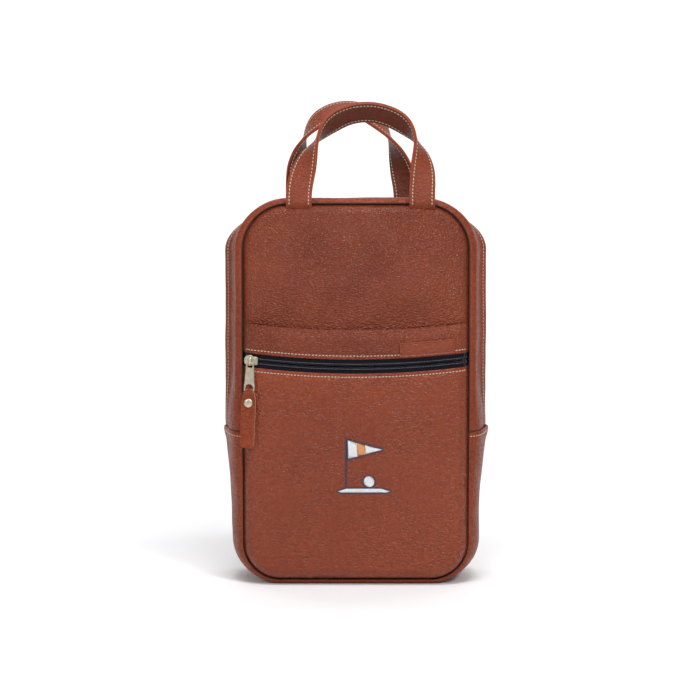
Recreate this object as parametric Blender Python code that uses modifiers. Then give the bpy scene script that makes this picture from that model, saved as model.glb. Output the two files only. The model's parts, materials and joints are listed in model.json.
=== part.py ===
"""A leather golf shoe bag: zip-round compartment, zipped front pocket and two strap handles.

Run with: blender --background --python part.py
Units are metres. +Z is up, the front faces -Y, and the origin is under the middle of the base.
"""

import math

import bmesh
import bpy
from mathutils import Matrix, Vector

# ---------------------------------------------------------------- driving dimensions

SEAM_WIDTH = 0.216  # the front and back panels, seam to seam
SEAM_TOP = 0.3645
SEAM_BOTTOM = 0.0048
TOP_RADIUS = 0.044
BOTTOM_RADIUS = 0.036
FRONT_SEAM_Y = -0.0463
BACK_SEAM_Y = 0.0537
SIDE_BULGE_HIGH = 0.0197  # how far the gusset swells past the seam beside the zip
SIDE_BULGE_LOW = 0.0132  # and near the base
SWELL_FROM_Z = 0.06  # the swelling grows between these two heights
SWELL_TO_Z = 0.16
TOP_ROLL = 0.008  # rounded shoulder along the top seams
TOP_SAG = 1.5  # the valley between them for the zip, as a share of that height
BASE_FLAT = 0.78  # share of the base's depth that is flat on the ground
PANEL_BULGE = 0.008  # crown of the front and back panels

LEATHER = 0.0015
FABRIC = 0.0005
TAPE = 0.0006
GAP = 0.00035  # between pieces that touch

LIP_Z = 0.150  # folded upper edge of the lower gusset
LIP_PROUD = 0.0018
ZIP_OPENING = 0.10  # half width of the main zip's slot, as a share of half the depth

POCKET_ZIP_Z = 0.2105  # middle of the pocket zip, at its lowest point
POCKET_ZIP_SAG = 0.0055  # how much higher its ends are
POCKET_ZIP_HALF_SLOT = 0.0065
POCKET_ZIP_HALF_LENGTH = 0.1040
POCKET_TOP_Z = 0.2450
POCKET_TOP_SAG = 0.0065
POCKET_SLIDER_X = -0.0990  # closed, at the left end
POCKET_TAPE_LEVEL = 0.0046  # middle of the tape, out from the panel's inner plane
POCKET_LEVEL = 0.0068  # outer face of the pocket leather

COIL_INNER = 0.0008  # the two rows of a coil stand this far from the zip's line
COIL_OUTER = 0.0030
COIL_BASE = 0.0006  # heights over the middle of the tape
COIL_TOP = 0.0021

HANDLE_WIDTH = 0.0245
HANDLE_PLY = 0.0013
HANDLE_TURN = math.radians(132)  # the strap's twist from foot to crest
HANDLE_TURN_OVER = (0.03, 0.76)  # the shares of the way to the crest between which it twists
HANDLE_UPRIGHT = 0.20  # 0 makes an ellipse, more keeps the legs upright for longer
HANDLE_LEAN_IN = 0.008
FRONT_HANDLE_HALF_SPACING = 0.0585
FRONT_HANDLE_HEIGHT = 0.0845
FRONT_HANDLE_X = 0.0045
FRONT_HANDLE_SIDE_LEAN = 0.0058
BACK_HANDLE_HALF_SPACING = 0.0545
BACK_HANDLE_HEIGHT = 0.0955
BACK_HANDLE_X = -0.0035
BACK_HANDLE_SIDE_LEAN = -0.005

HANDLE_PIVOT_RISE = 0.0021  # the feet bend this far above the seam
HANDLE_PIVOT_OUT = 0.0018  # and this far out from it
HANDLE_END_BELOW = 0.0011

SLIDER_LENGTH = 0.0130
SLIDER_WIDTH = 0.0090
SLIDER_BACK = (-0.0016, -0.0007)  # heights over the middle of the tape
SLIDER_FRONT = (0.0026, 0.0037)
BAIL_HEIGHT = 0.0073
BAIL_RADIUS = 0.00055
BAIL_HALF_LENGTH = 0.0032
TAB_LEVEL = 0.0052
TAB_THICKNESS = 0.0012
TAB_TOP_WIDTH = 0.0080
TAB_FOOT_WIDTH = 0.0100
TAB_EYE = (0.0006, 0.0051)  # the eye's ends, from the middle of its crossbar
TAB_SLOT = (0.0197, 0.0261)  # the slot that the leather pull goes through
TAB_FOOT = 0.0275
PULL_LENGTH = 0.0545
MAIN_PULL_LENGTH = 0.0340
PULL_WIDTH = 0.0140
PULL_NECK = 0.0060
PULL_PLY = 0.0012
PULL_LOOP = 0.0011  # inner radius of the fold round the tab's lower bar
RIVET_AT = 0.0117

MAIN_SLIDER_X = 0.0078  # each main slider's middle, closed, from the bag's middle
CROSSBAR_IN = 0.0016  # a tab's crossbar, inboard of the bail's leg
POCKET_TAB_YAW = math.radians(4)  # it hangs straighter than the zip line's slope

HALF_WIDTH = SEAM_WIDTH / 2
HALF_DEPTH = (BACK_SEAM_Y - FRONT_SEAM_Y) / 2
MIDDLE_Y = (BACK_SEAM_Y + FRONT_SEAM_Y) / 2
MIDDLE_Z = (SEAM_TOP + SEAM_BOTTOM) / 2
HALF_HEIGHT = (SEAM_TOP - SEAM_BOTTOM) / 2
STRAIGHT_TOP = HALF_WIDTH - TOP_RADIUS  # half the straight stretch along the top


# ---------------------------------------------------------------- scene and materials


def clear_scene():
    for obj in list(bpy.data.objects):
        bpy.data.objects.remove(obj)


def material(name, colour, roughness, metallic=0.0):
    made = bpy.data.materials.new(name)
    made.use_nodes = True
    shader = made.node_tree.nodes["Principled BSDF"]
    shader.inputs["Base Color"].default_value = (*colour, 1.0)
    shader.inputs["Roughness"].default_value = roughness
    shader.inputs["Metallic"].default_value = metallic
    return made


clear_scene()
PARTS = bpy.data.collections.new("golf_shoe_bag")
CUTTERS = bpy.data.collections.new("cutters")
for collection in (PARTS, CUTTERS):
    bpy.context.scene.collection.children.link(collection)

TAN_LEATHER = material("tan_leather", (0.24, 0.065, 0.030), 0.45)
LINING_FABRIC = material("lining_fabric", (0.020, 0.022, 0.035), 0.85)
ZIP_TAPE = material("zip_tape", (0.013, 0.012, 0.030), 0.80)
ZIP_COIL = material("zip_coil", (0.020, 0.020, 0.028), 0.40)
BRASS = material("pale_brass", (0.62, 0.56, 0.42), 0.35, 1.0)
THREAD = material("embroidery_thread", (0.75, 0.75, 0.76), 0.60)
BOARD = material("stiffener_board", (0.10, 0.08, 0.06), 0.90)


# ---------------------------------------------------------------- modelling helpers


def add_part(name, mesh, look, folder=PARTS):
    obj = bpy.data.objects.new(name, mesh)
    obj.data.materials.append(look)
    folder.objects.link(obj)
    return obj


def finish_mesh(name, bm):
    bmesh.ops.recalc_face_normals(bm, faces=bm.faces)
    mesh = bpy.data.meshes.new(name)
    bm.to_mesh(mesh)
    bm.free()
    return mesh


def bent_sheet(name, look, columns, rows, place, thickness, origin=(0.0, 0.0, 0.0), grows=1):
    """A grid bent so that its vertex (i, j) stands at place(i, j), then given its thickness.

    grows is 1 to thicken away from the grid's own normal, -1 towards it, and 0 for both ways.
    """
    origin = Vector(origin)
    bm = bmesh.new()
    bmesh.ops.create_grid(bm, x_segments=columns, y_segments=rows, size=0.5)
    for vertex in bm.verts:
        i = round((vertex.co.x + 0.5) * columns)
        j = round((vertex.co.y + 0.5) * rows)
        vertex.co = place(i, j) - origin
    mesh = bpy.data.meshes.new(name)
    bm.to_mesh(mesh)
    bm.free()
    obj = add_part(name, mesh, look)
    obj.location = origin
    shell = obj.modifiers.new("thickness", "SOLIDIFY")
    shell.thickness = thickness
    shell.offset = -grows
    shell.use_even_offset = True
    obj.data.shade_smooth()
    return obj


def box_mesh(name, low, high):
    """A box between two corners."""
    bm = bmesh.new()
    made = bmesh.ops.create_cube(bm, size=1.0)
    low, high = Vector(low), Vector(high)
    size = high - low
    for vertex in made["verts"]:
        vertex.co = Vector([v * s for v, s in zip(vertex.co, size)]) + (low + high) / 2
    return finish_mesh(name, bm)


def plate_mesh(name, outline, low, high):
    """A flat plate with the given outline of (x, y) points between two heights."""
    bm = bmesh.new()
    face = bm.faces.new([bm.verts.new((x, y, low)) for x, y in outline])
    raised = bmesh.ops.extrude_face_region(bm, geom=[face])["geom"]
    for item in raised:
        if isinstance(item, bmesh.types.BMVert):
            item.co.z = high
    return finish_mesh(name, bm)


def join(obj, other, operation):
    """Joins other to obj, or cuts it away, and keeps it as a hidden helper."""
    change = obj.modifiers.new(operation.lower(), "BOOLEAN")
    change.operation = operation
    change.solver = "EXACT"
    change.object = other
    other.hide_render = True
    other.display_type = "WIRE"


def helper(name, mesh, matrix=None):
    obj = add_part(name, mesh, BRASS, CUTTERS)
    obj.matrix_world = matrix or Matrix.Identity(4)
    obj.hide_render = True
    obj.display_type = "WIRE"
    return obj


def lathe_mesh(name, profile, steps=16):
    """A turned piece: a profile of (radius, height) points from axis to axis, spun round z."""
    bm = bmesh.new()
    rings = []
    for radius, height in profile:
        if radius == 0:
            rings.append([bm.verts.new((0, 0, height))])
            continue
        turns = [2 * math.pi * k / steps for k in range(steps)]
        ring = [(radius * math.cos(a), radius * math.sin(a), height) for a in turns]
        rings.append([bm.verts.new(point) for point in ring])
    for low, high in zip(rings, rings[1:]):
        for k in range(steps):
            n = (k + 1) % steps
            if len(low) == 1:
                bm.faces.new((low[0], high[k], high[n]))
            elif len(high) == 1:
                bm.faces.new((low[k], high[0], low[n]))
            else:
                bm.faces.new((low[k], high[k], high[n], low[n]))
    return finish_mesh(name, bm)


def wire_mesh(name, points, radius, closed=False, sides=1):
    """A round wire through the points, as a mesh."""
    curve = bpy.data.curves.new(name, "CURVE")
    curve.dimensions = "3D"
    curve.bevel_depth = radius
    curve.bevel_resolution = sides
    curve.use_fill_caps = not closed
    line = curve.splines.new("POLY")
    line.points.add(len(points) - 1)
    for target, point in zip(line.points, points):
        target.co = (*point, 1.0)
    line.use_cyclic_u = closed
    made = bpy.data.objects.new(name, curve)
    bpy.context.scene.collection.objects.link(made)
    mesh = bpy.data.meshes.new_from_object(made)
    bpy.data.objects.remove(made)
    bm = bmesh.new()
    bm.from_mesh(mesh)
    bmesh.ops.remove_doubles(bm, verts=bm.verts, dist=1e-6)
    bpy.data.meshes.remove(mesh)
    return finish_mesh(name, bm)


def frame_matrix(origin, along, across, out):
    """The matrix that carries a piece's own x, y and z onto three directions at origin."""
    columns = [Vector(v).normalized() for v in (along, across, out)]
    turn = Matrix([[c[k] for c in columns] for k in range(3)])
    return Matrix.Translation(origin) @ turn.to_4x4()


def smooth(value):
    value = min(1.0, max(0.0, value))
    return value * value * (3 - 2 * value)


# ---------------------------------------------------------------- shape of the body


def seam_half_width(z, inset=0.0):
    """Half the width of the panels' rounded outline at height z, drawn in by inset."""
    half = HALF_WIDTH - inset
    for edge, corner in ((SEAM_TOP - inset, TOP_RADIUS), (SEAM_BOTTOM + inset, BOTTOM_RADIUS)):
        radius = corner - inset
        past = radius - abs(edge - z)
        if past > 0:
            return half - radius + math.sqrt(max(0.0, radius**2 - past**2))
    return half


def panel_rows(low, high, inset=0.0, corner=4, middle=4):
    """Heights for a panel's rows: close together round the corners, even between them."""
    heights = []
    for k in range(corner + 1):
        rise = 1 - math.cos(math.pi / 2 * k / corner)
        heights.append(SEAM_BOTTOM + inset + (BOTTOM_RADIUS - inset) * rise)
        heights.append(SEAM_TOP - inset - (TOP_RADIUS - inset) * rise)
    start, end = SEAM_BOTTOM + BOTTOM_RADIUS, SEAM_TOP - TOP_RADIUS
    heights += [start + (end - start) * k / middle for k in range(1, middle)]
    closest = 0.003
    inside = [z for z in heights if low + closest < z < high - closest]
    return [low, *sorted(inside), high]


def crown(x, z):
    """How far a panel swells out of its seam plane."""
    return PANEL_BULGE * (1 - (x / HALF_WIDTH) ** 2) * (1 - ((z - MIDDLE_Z) / HALF_HEIGHT) ** 2)


def front_point(x, z, level):
    """A point level metres out from the front panel's inner face."""
    return Vector((x, FRONT_SEAM_Y - crown(x, z) - level, z))


def back_point(x, z, level):
    return Vector((x, BACK_SEAM_Y + crown(x, z) + level, z))


def corner_stations(x, z, radius, start, end, steps=4):
    """Stations round a corner: x, z, and the outward direction's x and z."""
    stations = []
    for k in range(steps + 1):
        angle = math.radians(start + (end - start) * k / steps)
        across, up = math.cos(angle), math.sin(angle)
        stations.append((x + radius * across, z + radius * up, across, up))
    return stations


def seam_loop(seam_y, inset):
    """Points all the way round a seam, drawn in by inset."""
    corners = (
        (-STRAIGHT_TOP, SEAM_TOP - TOP_RADIUS, TOP_RADIUS, 180, 90),
        (STRAIGHT_TOP, SEAM_TOP - TOP_RADIUS, TOP_RADIUS, 90, 0),
        (HALF_WIDTH - BOTTOM_RADIUS, SEAM_BOTTOM + BOTTOM_RADIUS, BOTTOM_RADIUS, 0, -90),
        (BOTTOM_RADIUS - HALF_WIDTH, SEAM_BOTTOM + BOTTOM_RADIUS, BOTTOM_RADIUS, -90, -180),
    )
    points = []
    for x, z, radius, start, end in corners:
        stations = corner_stations(x, z, radius - inset, start, end)
        points += [Vector((s[0], seam_y, s[1])) for s in stations]
    return points


def side_stations(side, heights):
    return [(side * HALF_WIDTH, z, side, 0.0) for z in heights]


def upper_stations():
    """From the lip on the left, over the top, to the lip on the right."""
    centre_z = SEAM_TOP - TOP_RADIUS
    foot = LIP_Z + GAP
    rising = [foot + (centre_z - foot) * k / 5 for k in range(5)]
    top = [(x * STRAIGHT_TOP, SEAM_TOP, 0.0, 1.0) for x in (-0.5, 0.0, 0.5)]
    return [
        *side_stations(-1.0, rising),
        *corner_stations(-STRAIGHT_TOP, centre_z, TOP_RADIUS, 180, 90),
        *top,
        *corner_stations(STRAIGHT_TOP, centre_z, TOP_RADIUS, 90, 0),
        *side_stations(1.0, rising[::-1]),
    ]


def lower_stations(top=LIP_Z):
    """From the lip on the left, under the base, to the lip on the right."""
    centre_x, centre_z = HALF_WIDTH - BOTTOM_RADIUS, SEAM_BOTTOM + BOTTOM_RADIUS
    falling = [top, LIP_Z - 0.005, LIP_Z - 0.012, 0.115, 0.090, 0.067]
    base = [(x * centre_x, SEAM_BOTTOM, 0.0, -1.0) for x in (-0.4, 0.4)]
    return [
        *side_stations(-1.0, falling),
        *corner_stations(-centre_x, centre_z, BOTTOM_RADIUS, 180, 270),
        *base,
        *corner_stations(centre_x, centre_z, BOTTOM_RADIUS, 270, 360),
        *side_stations(1.0, falling[::-1]),
    ]


def side_swell(z, depth):
    """How far the gusset stands out sideways, at height z and depth from -1 (front) to 1 (back)."""
    dome = (1 - abs(depth) ** 2.4) ** 0.56
    grown = smooth((z - SWELL_FROM_Z) / (SWELL_TO_Z - SWELL_FROM_Z))
    return dome * (SIDE_BULGE_LOW + (SIDE_BULGE_HIGH - SIDE_BULGE_LOW) * grown)


def top_swell(depth):
    """A rounded shoulder at each seam, and a valley between them for the zip."""
    return TOP_ROLL * math.sqrt(1 - depth**6) * (1 - TOP_SAG * (1 - depth**2) ** 2)


def base_swell(depth):
    """Flat over the middle of the base, rounded up to the seams."""
    past = max(0.0, (abs(depth) - BASE_FLAT) / (1 - BASE_FLAT))
    return SEAM_BOTTOM * (1 - past**2.5) ** 0.6


def lip_rise(z, depth):
    """The lower gusset's folded upper edge stands a little proud of the strips above it."""
    return LIP_PROUD * smooth((z - LIP_Z + 0.012) / 0.006) * (1 - depth**4)


def skin(station, depth, inset=0.0, proud=False):
    """A point on the gusset's outer face, or inset metres under it."""
    x, z, out_x, out_z = station

    def outer(at):
        end = top_swell(at) if out_z > 0 else base_swell(at)
        side = side_swell(z, at) + (lip_rise(z, at) if proud else 0.0)
        return Vector((x + out_x * side, MIDDLE_Y + at * HALF_DEPTH, z + out_z * end))

    point = outer(depth)
    if not inset:
        return point
    step = 0.004
    along_depth = (outer(min(depth + step, 0.999)) - outer(max(depth - step, -0.999))).normalized()
    out = Vector((out_x, 0.0, out_z))
    normal = (out - along_depth * out.dot(along_depth)).normalized()
    return point - normal * inset


def gusset_band(name, look, stations, depths, thickness, inset=0.0, proud=False):
    """A strip of the gusset through every station, between the first and last depth."""

    def place(i, j):
        return skin(stations[i], depths[j], inset, proud)

    grows = -1 if stations[len(stations) // 2][3] < 0 else 1
    return bent_sheet(name, look, len(stations) - 1, len(depths) - 1, place, thickness, grows=grows)


def spread(start, end, steps):
    return [start + (end - start) * k / steps for k in range(steps + 1)]


def panel(name, look, low, high, level, thickness, back=False, inset=0.0, columns=8):
    """A sheet of the front or back between two edges.

    low and high are each an edge's height at the middle, and how much higher its ends are.
    """
    point_at = back_point if back else front_point
    (low_z, low_lift), (high_z, high_lift) = low, high
    rows = panel_rows(low_z, high_z, inset)

    def place(i, j):
        z = rows[j]
        share = (z - low_z) / (high_z - low_z)
        x = (2 * i / columns - 1) * seam_half_width(z, inset)
        bend = (x / HALF_WIDTH) ** 2
        z += bend * (low_lift * (1 - share) + high_lift * share)
        return point_at(x, z, level)

    grows = 1 if back else -1
    return bent_sheet(name, look, columns, len(rows) - 1, place, thickness, grows=grows)


# ---------------------------------------------------------------- body: leather, lining, base

INNER_EDGE = 1 - GAP / HALF_DEPTH  # the gusset's edges stop just short of the panels
SLOT_EDGE = ZIP_OPENING
UPPER, LOWER = upper_stations(), lower_stations()
FULL_DEPTHS = [-INNER_EDGE, -0.97, -0.9, -0.7, -0.4, 0.0, 0.4, 0.7, 0.9, 0.97, INNER_EDGE]
BACK_DEPTHS = [SLOT_EDGE, 0.25, 0.4, 0.65, 0.85, 0.95, INNER_EDGE]
FRONT_DEPTHS = [-d for d in reversed(BACK_DEPTHS)]

panel("front_panel", TAN_LEATHER, (SEAM_BOTTOM, 0), (SEAM_TOP, 0), 0.0, LEATHER)
panel("back_panel", TAN_LEATHER, (SEAM_BOTTOM, 0), (SEAM_TOP, 0), 0.0, LEATHER, back=True)
gusset_band("gusset_lower", TAN_LEATHER, LOWER, FULL_DEPTHS, LEATHER, proud=True)
gusset_band("gusset_strip_front", TAN_LEATHER, UPPER, FRONT_DEPTHS, LEATHER)
gusset_band("gusset_strip_back", TAN_LEATHER, UPPER, BACK_DEPTHS, LEATHER)

LINING_INSET = LEATHER + 2 * GAP
LINING_LEVEL = -(FABRIC + GAP)
SEAM_INSET = 0.0062  # the panels' linings stop short of the seam bindings
panel(
    "lining_front", LINING_FABRIC, (SEAM_BOTTOM + SEAM_INSET, 0), (SEAM_TOP - SEAM_INSET, 0),
    LINING_LEVEL, FABRIC, inset=SEAM_INSET,
)
panel(
    "lining_back", LINING_FABRIC, (SEAM_BOTTOM + SEAM_INSET, 0), (SEAM_TOP - SEAM_INSET, 0),
    LINING_LEVEL, FABRIC, back=True, inset=SEAM_INSET,
)
LINING_DEPTHS = [-0.9, -0.7, -0.4, 0.0, 0.4, 0.7, 0.9]
STRIP_LINING_DEPTHS = [0.32, 0.4, 0.65, 0.85]
gusset_band("lining_gusset", LINING_FABRIC, LOWER, LINING_DEPTHS, FABRIC, LINING_INSET, proud=True)
gusset_band(
    "lining_strip_front", LINING_FABRIC, UPPER, [-d for d in reversed(STRIP_LINING_DEPTHS)],
    FABRIC, LINING_INSET,
)
gusset_band("lining_strip_back", LINING_FABRIC, UPPER, STRIP_LINING_DEPTHS, FABRIC, LINING_INSET)
BINDING_RADIUS = 0.0013
BINDING_INSET = 0.0042
for side_name, seam_y in (("front", FRONT_SEAM_Y + 0.0022), ("back", BACK_SEAM_Y - 0.0022)):
    binding_name = side_name + "_seam_binding"
    rim = wire_mesh(binding_name, seam_loop(seam_y, BINDING_INSET), BINDING_RADIUS, closed=True)
    add_part(binding_name, rim, LINING_FABRIC).data.shade_smooth()

BOARD_HALF = Vector((0.0640, 0.0320))
BOARD_LOW, BOARD_HIGH = 0.0030, 0.0044
board_outline = []
for sign_x, sign_y, start in ((1, 1, 0), (-1, 1, 90), (-1, -1, 180), (1, -1, 270)):
    for k in range(4):
        turn = math.radians(start + 30 * k)
        x = sign_x * (BOARD_HALF.x - 0.008) + 0.008 * math.cos(turn)
        y = sign_y * (BOARD_HALF.y - 0.008) + 0.008 * math.sin(turn)
        board_outline.append((x, MIDDLE_Y + y))
add_part("base_board", plate_mesh("base_board", board_outline, BOARD_LOW, BOARD_HIGH), BOARD)


# ---------------------------------------------------------------- front pocket

POCKET_SHEET = POCKET_LEVEL - LEATHER
POCKET_LINING_LEVEL = LEATHER + GAP
ZIP_END_X = -POCKET_SLIDER_X
ZIP_MIDDLE = front_point(0.0, POCKET_ZIP_Z, POCKET_TAPE_LEVEL)
ZIP_END = front_point(ZIP_END_X, POCKET_ZIP_Z + POCKET_ZIP_SAG, POCKET_TAPE_LEVEL)
ZIP_RISE = Vector((0.0, ZIP_END.y - ZIP_MIDDLE.y, ZIP_END.z - ZIP_MIDDLE.z))
ZIP_ARC_RADIUS = (ZIP_END_X**2 + ZIP_RISE.length**2) / (2 * ZIP_RISE.length)
ZIP_ARC_CENTRE = ZIP_MIDDLE + ZIP_RISE.normalized() * ZIP_ARC_RADIUS
ZIP_ARC_AXIS = ZIP_RISE.normalized().cross(Vector((1.0, 0.0, 0.0)))
RIGHT, UP, FORWARD = Vector((1, 0, 0)), Vector((0, 0, 1)), Vector((0, -1, 0))


def zip_height(x):
    """Height of the pocket zip's line over x."""
    drop = ZIP_ARC_RADIUS - math.sqrt(ZIP_ARC_RADIUS**2 - x**2)
    return POCKET_ZIP_Z + drop * ZIP_RISE.normalized().z


def zip_turn(x):
    """The turn about the arc's axis that carries the zip's middle to x."""
    angle = math.asin(x / ZIP_ARC_RADIUS)
    about = Matrix.Rotation(angle, 4, -ZIP_ARC_AXIS)
    return Matrix.Translation(ZIP_ARC_CENTRE) @ about @ Matrix.Translation(-ZIP_ARC_CENTRE)


def zip_frame(x):
    """Frame on the pocket zip: along it, across it upwards, and out to the front."""
    return zip_turn(x) @ frame_matrix(ZIP_MIDDLE, RIGHT, UP, FORWARD)


ZIP_XS = spread(-POCKET_ZIP_HALF_LENGTH, POCKET_ZIP_HALF_LENGTH, 16)


def pocket_zip_strip(name, look, shares, height, thickness, side):
    """A strip along the pocket zip between two distances from its line."""
    frames = [zip_frame(x) for x in ZIP_XS]

    def place(i, j):
        return frames[i] @ Vector((0.0, side * shares[j], height))

    return bent_sheet(name, look, len(ZIP_XS) - 1, len(shares) - 1, place, thickness, grows=-side)


for side_name, side in (("upper", 1), ("lower", -1)):
    pocket_zip_strip(
        "pocket_zip_tape_" + side_name, ZIP_TAPE, (0.0009, 0.0060, 0.0130), -TAPE / 2, TAPE, side
    )
    pocket_zip_strip(
        "pocket_zip_coil_" + side_name, ZIP_COIL, (COIL_INNER, COIL_OUTER), COIL_BASE,
        COIL_TOP - COIL_BASE, side,
    )

POCKET_COLUMNS = 12
BAND_LOW = POCKET_ZIP_Z + POCKET_ZIP_HALF_SLOT
ZIP_EDGE_LIFT = zip_height(HALF_WIDTH) - POCKET_ZIP_Z
panel(
    "pocket_front_panel", TAN_LEATHER, (SEAM_BOTTOM, 0),
    (POCKET_ZIP_Z - POCKET_ZIP_HALF_SLOT, ZIP_EDGE_LIFT), POCKET_SHEET, LEATHER, columns=POCKET_COLUMNS,
)
panel(
    "pocket_top_band", TAN_LEATHER, (BAND_LOW, ZIP_EDGE_LIFT), (POCKET_TOP_Z, POCKET_TOP_SAG),
    POCKET_SHEET, LEATHER, columns=POCKET_COLUMNS,
)
panel(
    "pocket_lining", LINING_FABRIC, (SEAM_BOTTOM + 0.004, 0), (POCKET_TOP_Z - 0.006, POCKET_TOP_SAG),
    POCKET_LINING_LEVEL, FABRIC, inset=0.004,
)


def front_patch(name, look, corners, level, thickness, columns=6, rows=2):
    """A patch on the front between four corners: lower left, lower right, upper left, upper right."""
    low_left, low_right, high_left, high_right = [Vector(c) for c in corners]

    def place(i, j):
        low = low_left.lerp(low_right, i / columns)
        high = high_left.lerp(high_right, i / columns)
        x, z = low.lerp(high, j / rows)
        return front_point(x, z, level)

    return bent_sheet(name, look, columns, rows, place, thickness, grows=-1)


def label_corner(x, rise):
    return (x, BAND_LOW + ZIP_EDGE_LIFT * (x / HALF_WIDTH) ** 2 + rise)


LABEL_LEFT, LABEL_RIGHT = 0.041, 0.094
PATCH_LEVEL = POCKET_LEVEL + GAP
front_patch(
    "blank_label", TAN_LEATHER,
    [label_corner(x, rise) for rise in (0.0006, 0.0150) for x in (LABEL_LEFT, LABEL_RIGHT)],
    PATCH_LEVEL, 0.0013,
)
THREAD_HEIGHT = 0.0006
front_patch(
    "motif_flagpole", THREAD,
    [(-0.0100, 0.0960), (-0.0085, 0.0960), (-0.0100, 0.1420), (-0.0085, 0.1420)],
    PATCH_LEVEL, THREAD_HEIGHT, columns=1, rows=6,
)
front_patch(
    "motif_pennant", THREAD,
    [(-0.0079, 0.1225), (0.0255, 0.1316), (-0.0079, 0.1415), (0.0255, 0.1324)],
    PATCH_LEVEL, THREAD_HEIGHT, columns=6, rows=2,
)
front_patch(
    "motif_green", THREAD,
    [(-0.0180, 0.0905), (0.0330, 0.0905), (-0.0090, 0.0952), (0.0240, 0.0952)],
    PATCH_LEVEL, THREAD_HEIGHT, columns=6, rows=2,
)


# ---------------------------------------------------------------- main zip

TAPE_INSET = LEATHER + GAP
TAPE_MIDDLE = TAPE_INSET + TAPE / 2
TAPE_DEPTHS = [0.018, SLOT_EDGE, 0.25]
COIL_DEPTHS = [COIL_INNER / HALF_DEPTH, COIL_OUTER / HALF_DEPTH]
COIL_INSET = TAPE_MIDDLE - COIL_TOP
for side_name, side in (("front", -1), ("back", 1)):
    tape_depths = sorted(side * d for d in TAPE_DEPTHS)
    coil_depths = sorted(side * d for d in COIL_DEPTHS)
    gusset_band("main_zip_tape_" + side_name, ZIP_TAPE, UPPER, tape_depths, TAPE, TAPE_INSET)
    gusset_band(
        "main_zip_coil_" + side_name, ZIP_COIL, UPPER, coil_depths, COIL_TOP - COIL_BASE, COIL_INSET
    )


# ---------------------------------------------------------------- sliders, tabs and leather pulls


def add_slider(name, frame, bail_along):
    """A zip slider: two plates, the post between them and the bail over the top."""
    half_length, half_width = SLIDER_LENGTH / 2, SLIDER_WIDTH / 2
    (back_low, back_high), (front_low, front_high) = SLIDER_BACK, SLIDER_FRONT

    def plate(plate_name, low, high):
        return box_mesh(plate_name, (-half_length, -half_width, low), (half_length, half_width, high))

    slider = add_part(name, plate(name, back_low, back_high), BRASS)
    slider.matrix_world = frame
    front = plate("front_plate", front_low, front_high)
    overlap = 0.0003
    post = box_mesh("post", (-0.002, -0.0004, back_high - overlap), (0.002, 0.0004, front_low + overlap))
    foot, bend, reach = front_high - overlap, 0.0012, BAIL_HALF_LENGTH
    leg = [(reach, foot), (reach, BAIL_HEIGHT - bend), (reach - bend, BAIL_HEIGHT)]
    path = [(-a, h) for a, h in leg] + leg[::-1]
    bail_points = [(a, 0.0, h) if bail_along else (0.0, a, h) for a, h in path]
    bail = wire_mesh("bail", bail_points, BAIL_RADIUS)
    for piece in (post, front, bail):
        join(slider, helper(name + "_helper", piece, frame), "UNION")
    return slider


def tab_outline():
    """Half widths at stations down the tab, rounded at both ends."""
    top, foot, low = TAB_TOP_WIDTH / 2, TAB_FOOT_WIDTH / 2, TAB_FOOT
    right = [
        (-TAB_EYE[0], top - 0.0012), (0.0008, top), (TAB_SLOT[0] - 0.0080, top),
        (TAB_SLOT[0] - 0.0010, foot), (low - 0.0010, foot), (low, foot - 0.0010),
    ]
    return right + [(x, -y) for x, y in reversed(right)]


def add_tab(name, frame):
    half = TAB_THICKNESS / 2
    tab = add_part(name, plate_mesh(name, tab_outline(), -half, half), BRASS)
    tab.matrix_world = frame
    for (start, end), half_width in ((TAB_EYE, 0.0027), (TAB_SLOT, 0.0033)):
        hole = box_mesh("hole", (start, -half_width, -0.002), (end, half_width, 0.002))
        join(tab, helper(name + "_helper", hole, frame), "DIFFERENCE")
    return tab


def add_pull(name, frame, length):
    """A leather strap folded round the tab's lower bar, in its own frame at the bar's middle."""
    middle = PULL_LOOP + PULL_PLY / 2
    closed = PULL_PLY / 2 + 0.00015
    path = [(length, closed), (length - 0.004, closed), (length - 0.012, closed)]
    path += [(RIVET_AT + 0.004, closed), (RIVET_AT, closed), (RIVET_AT - 0.003, closed)]
    path += [(0.0040, 0.0013), (0.0018, middle)]
    for degrees in (0, 30, 60, 90):
        turn = math.radians(degrees)
        path.append((-middle * math.sin(turn), middle * math.cos(turn)))
    path += [(x, -z) for x, z in reversed(path[:-1])]

    def half_width(x):
        grown = smooth((x - 0.0015) / 0.0060)
        wide = PULL_NECK / 2 + (PULL_WIDTH - PULL_NECK) / 2 * grown
        corner = max(0.0, x - (length - 0.004)) / 0.004
        return wide - 0.0025 * corner**2

    def place(i, j):
        x, z = path[i]
        return Vector((x, half_width(x) * (j - 1), z))

    pull = bent_sheet(name, TAN_LEATHER, len(path) - 1, 2, place, PULL_PLY, grows=0)
    pull.matrix_world = frame
    hole = lathe_mesh("hole", [(0, -0.004), (0.0013, -0.004), (0.0013, 0.004), (0, 0.004)])
    hole_frame = frame @ Matrix.Translation((RIVET_AT, 0, 0))
    join(pull, helper(name + "_helper", hole, hole_frame), "DIFFERENCE")
    return pull


def add_rivet(name, frame):
    face = PULL_PLY + 0.00015 + GAP
    profile = [(0, -face - 0.0006), (0.0033, -face - 0.0006), (0.0033, -face), (0.0010, -face)]
    profile += [(0.0010, face), (0.0042, face), (0.0040, face + 0.0006), (0.0025, face + 0.0011)]
    profile.append((0, face + 0.0013))
    rivet = add_part(name, lathe_mesh(name, profile), BRASS)
    rivet.matrix_world = frame
    rivet.data.shade_smooth()
    return rivet


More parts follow.
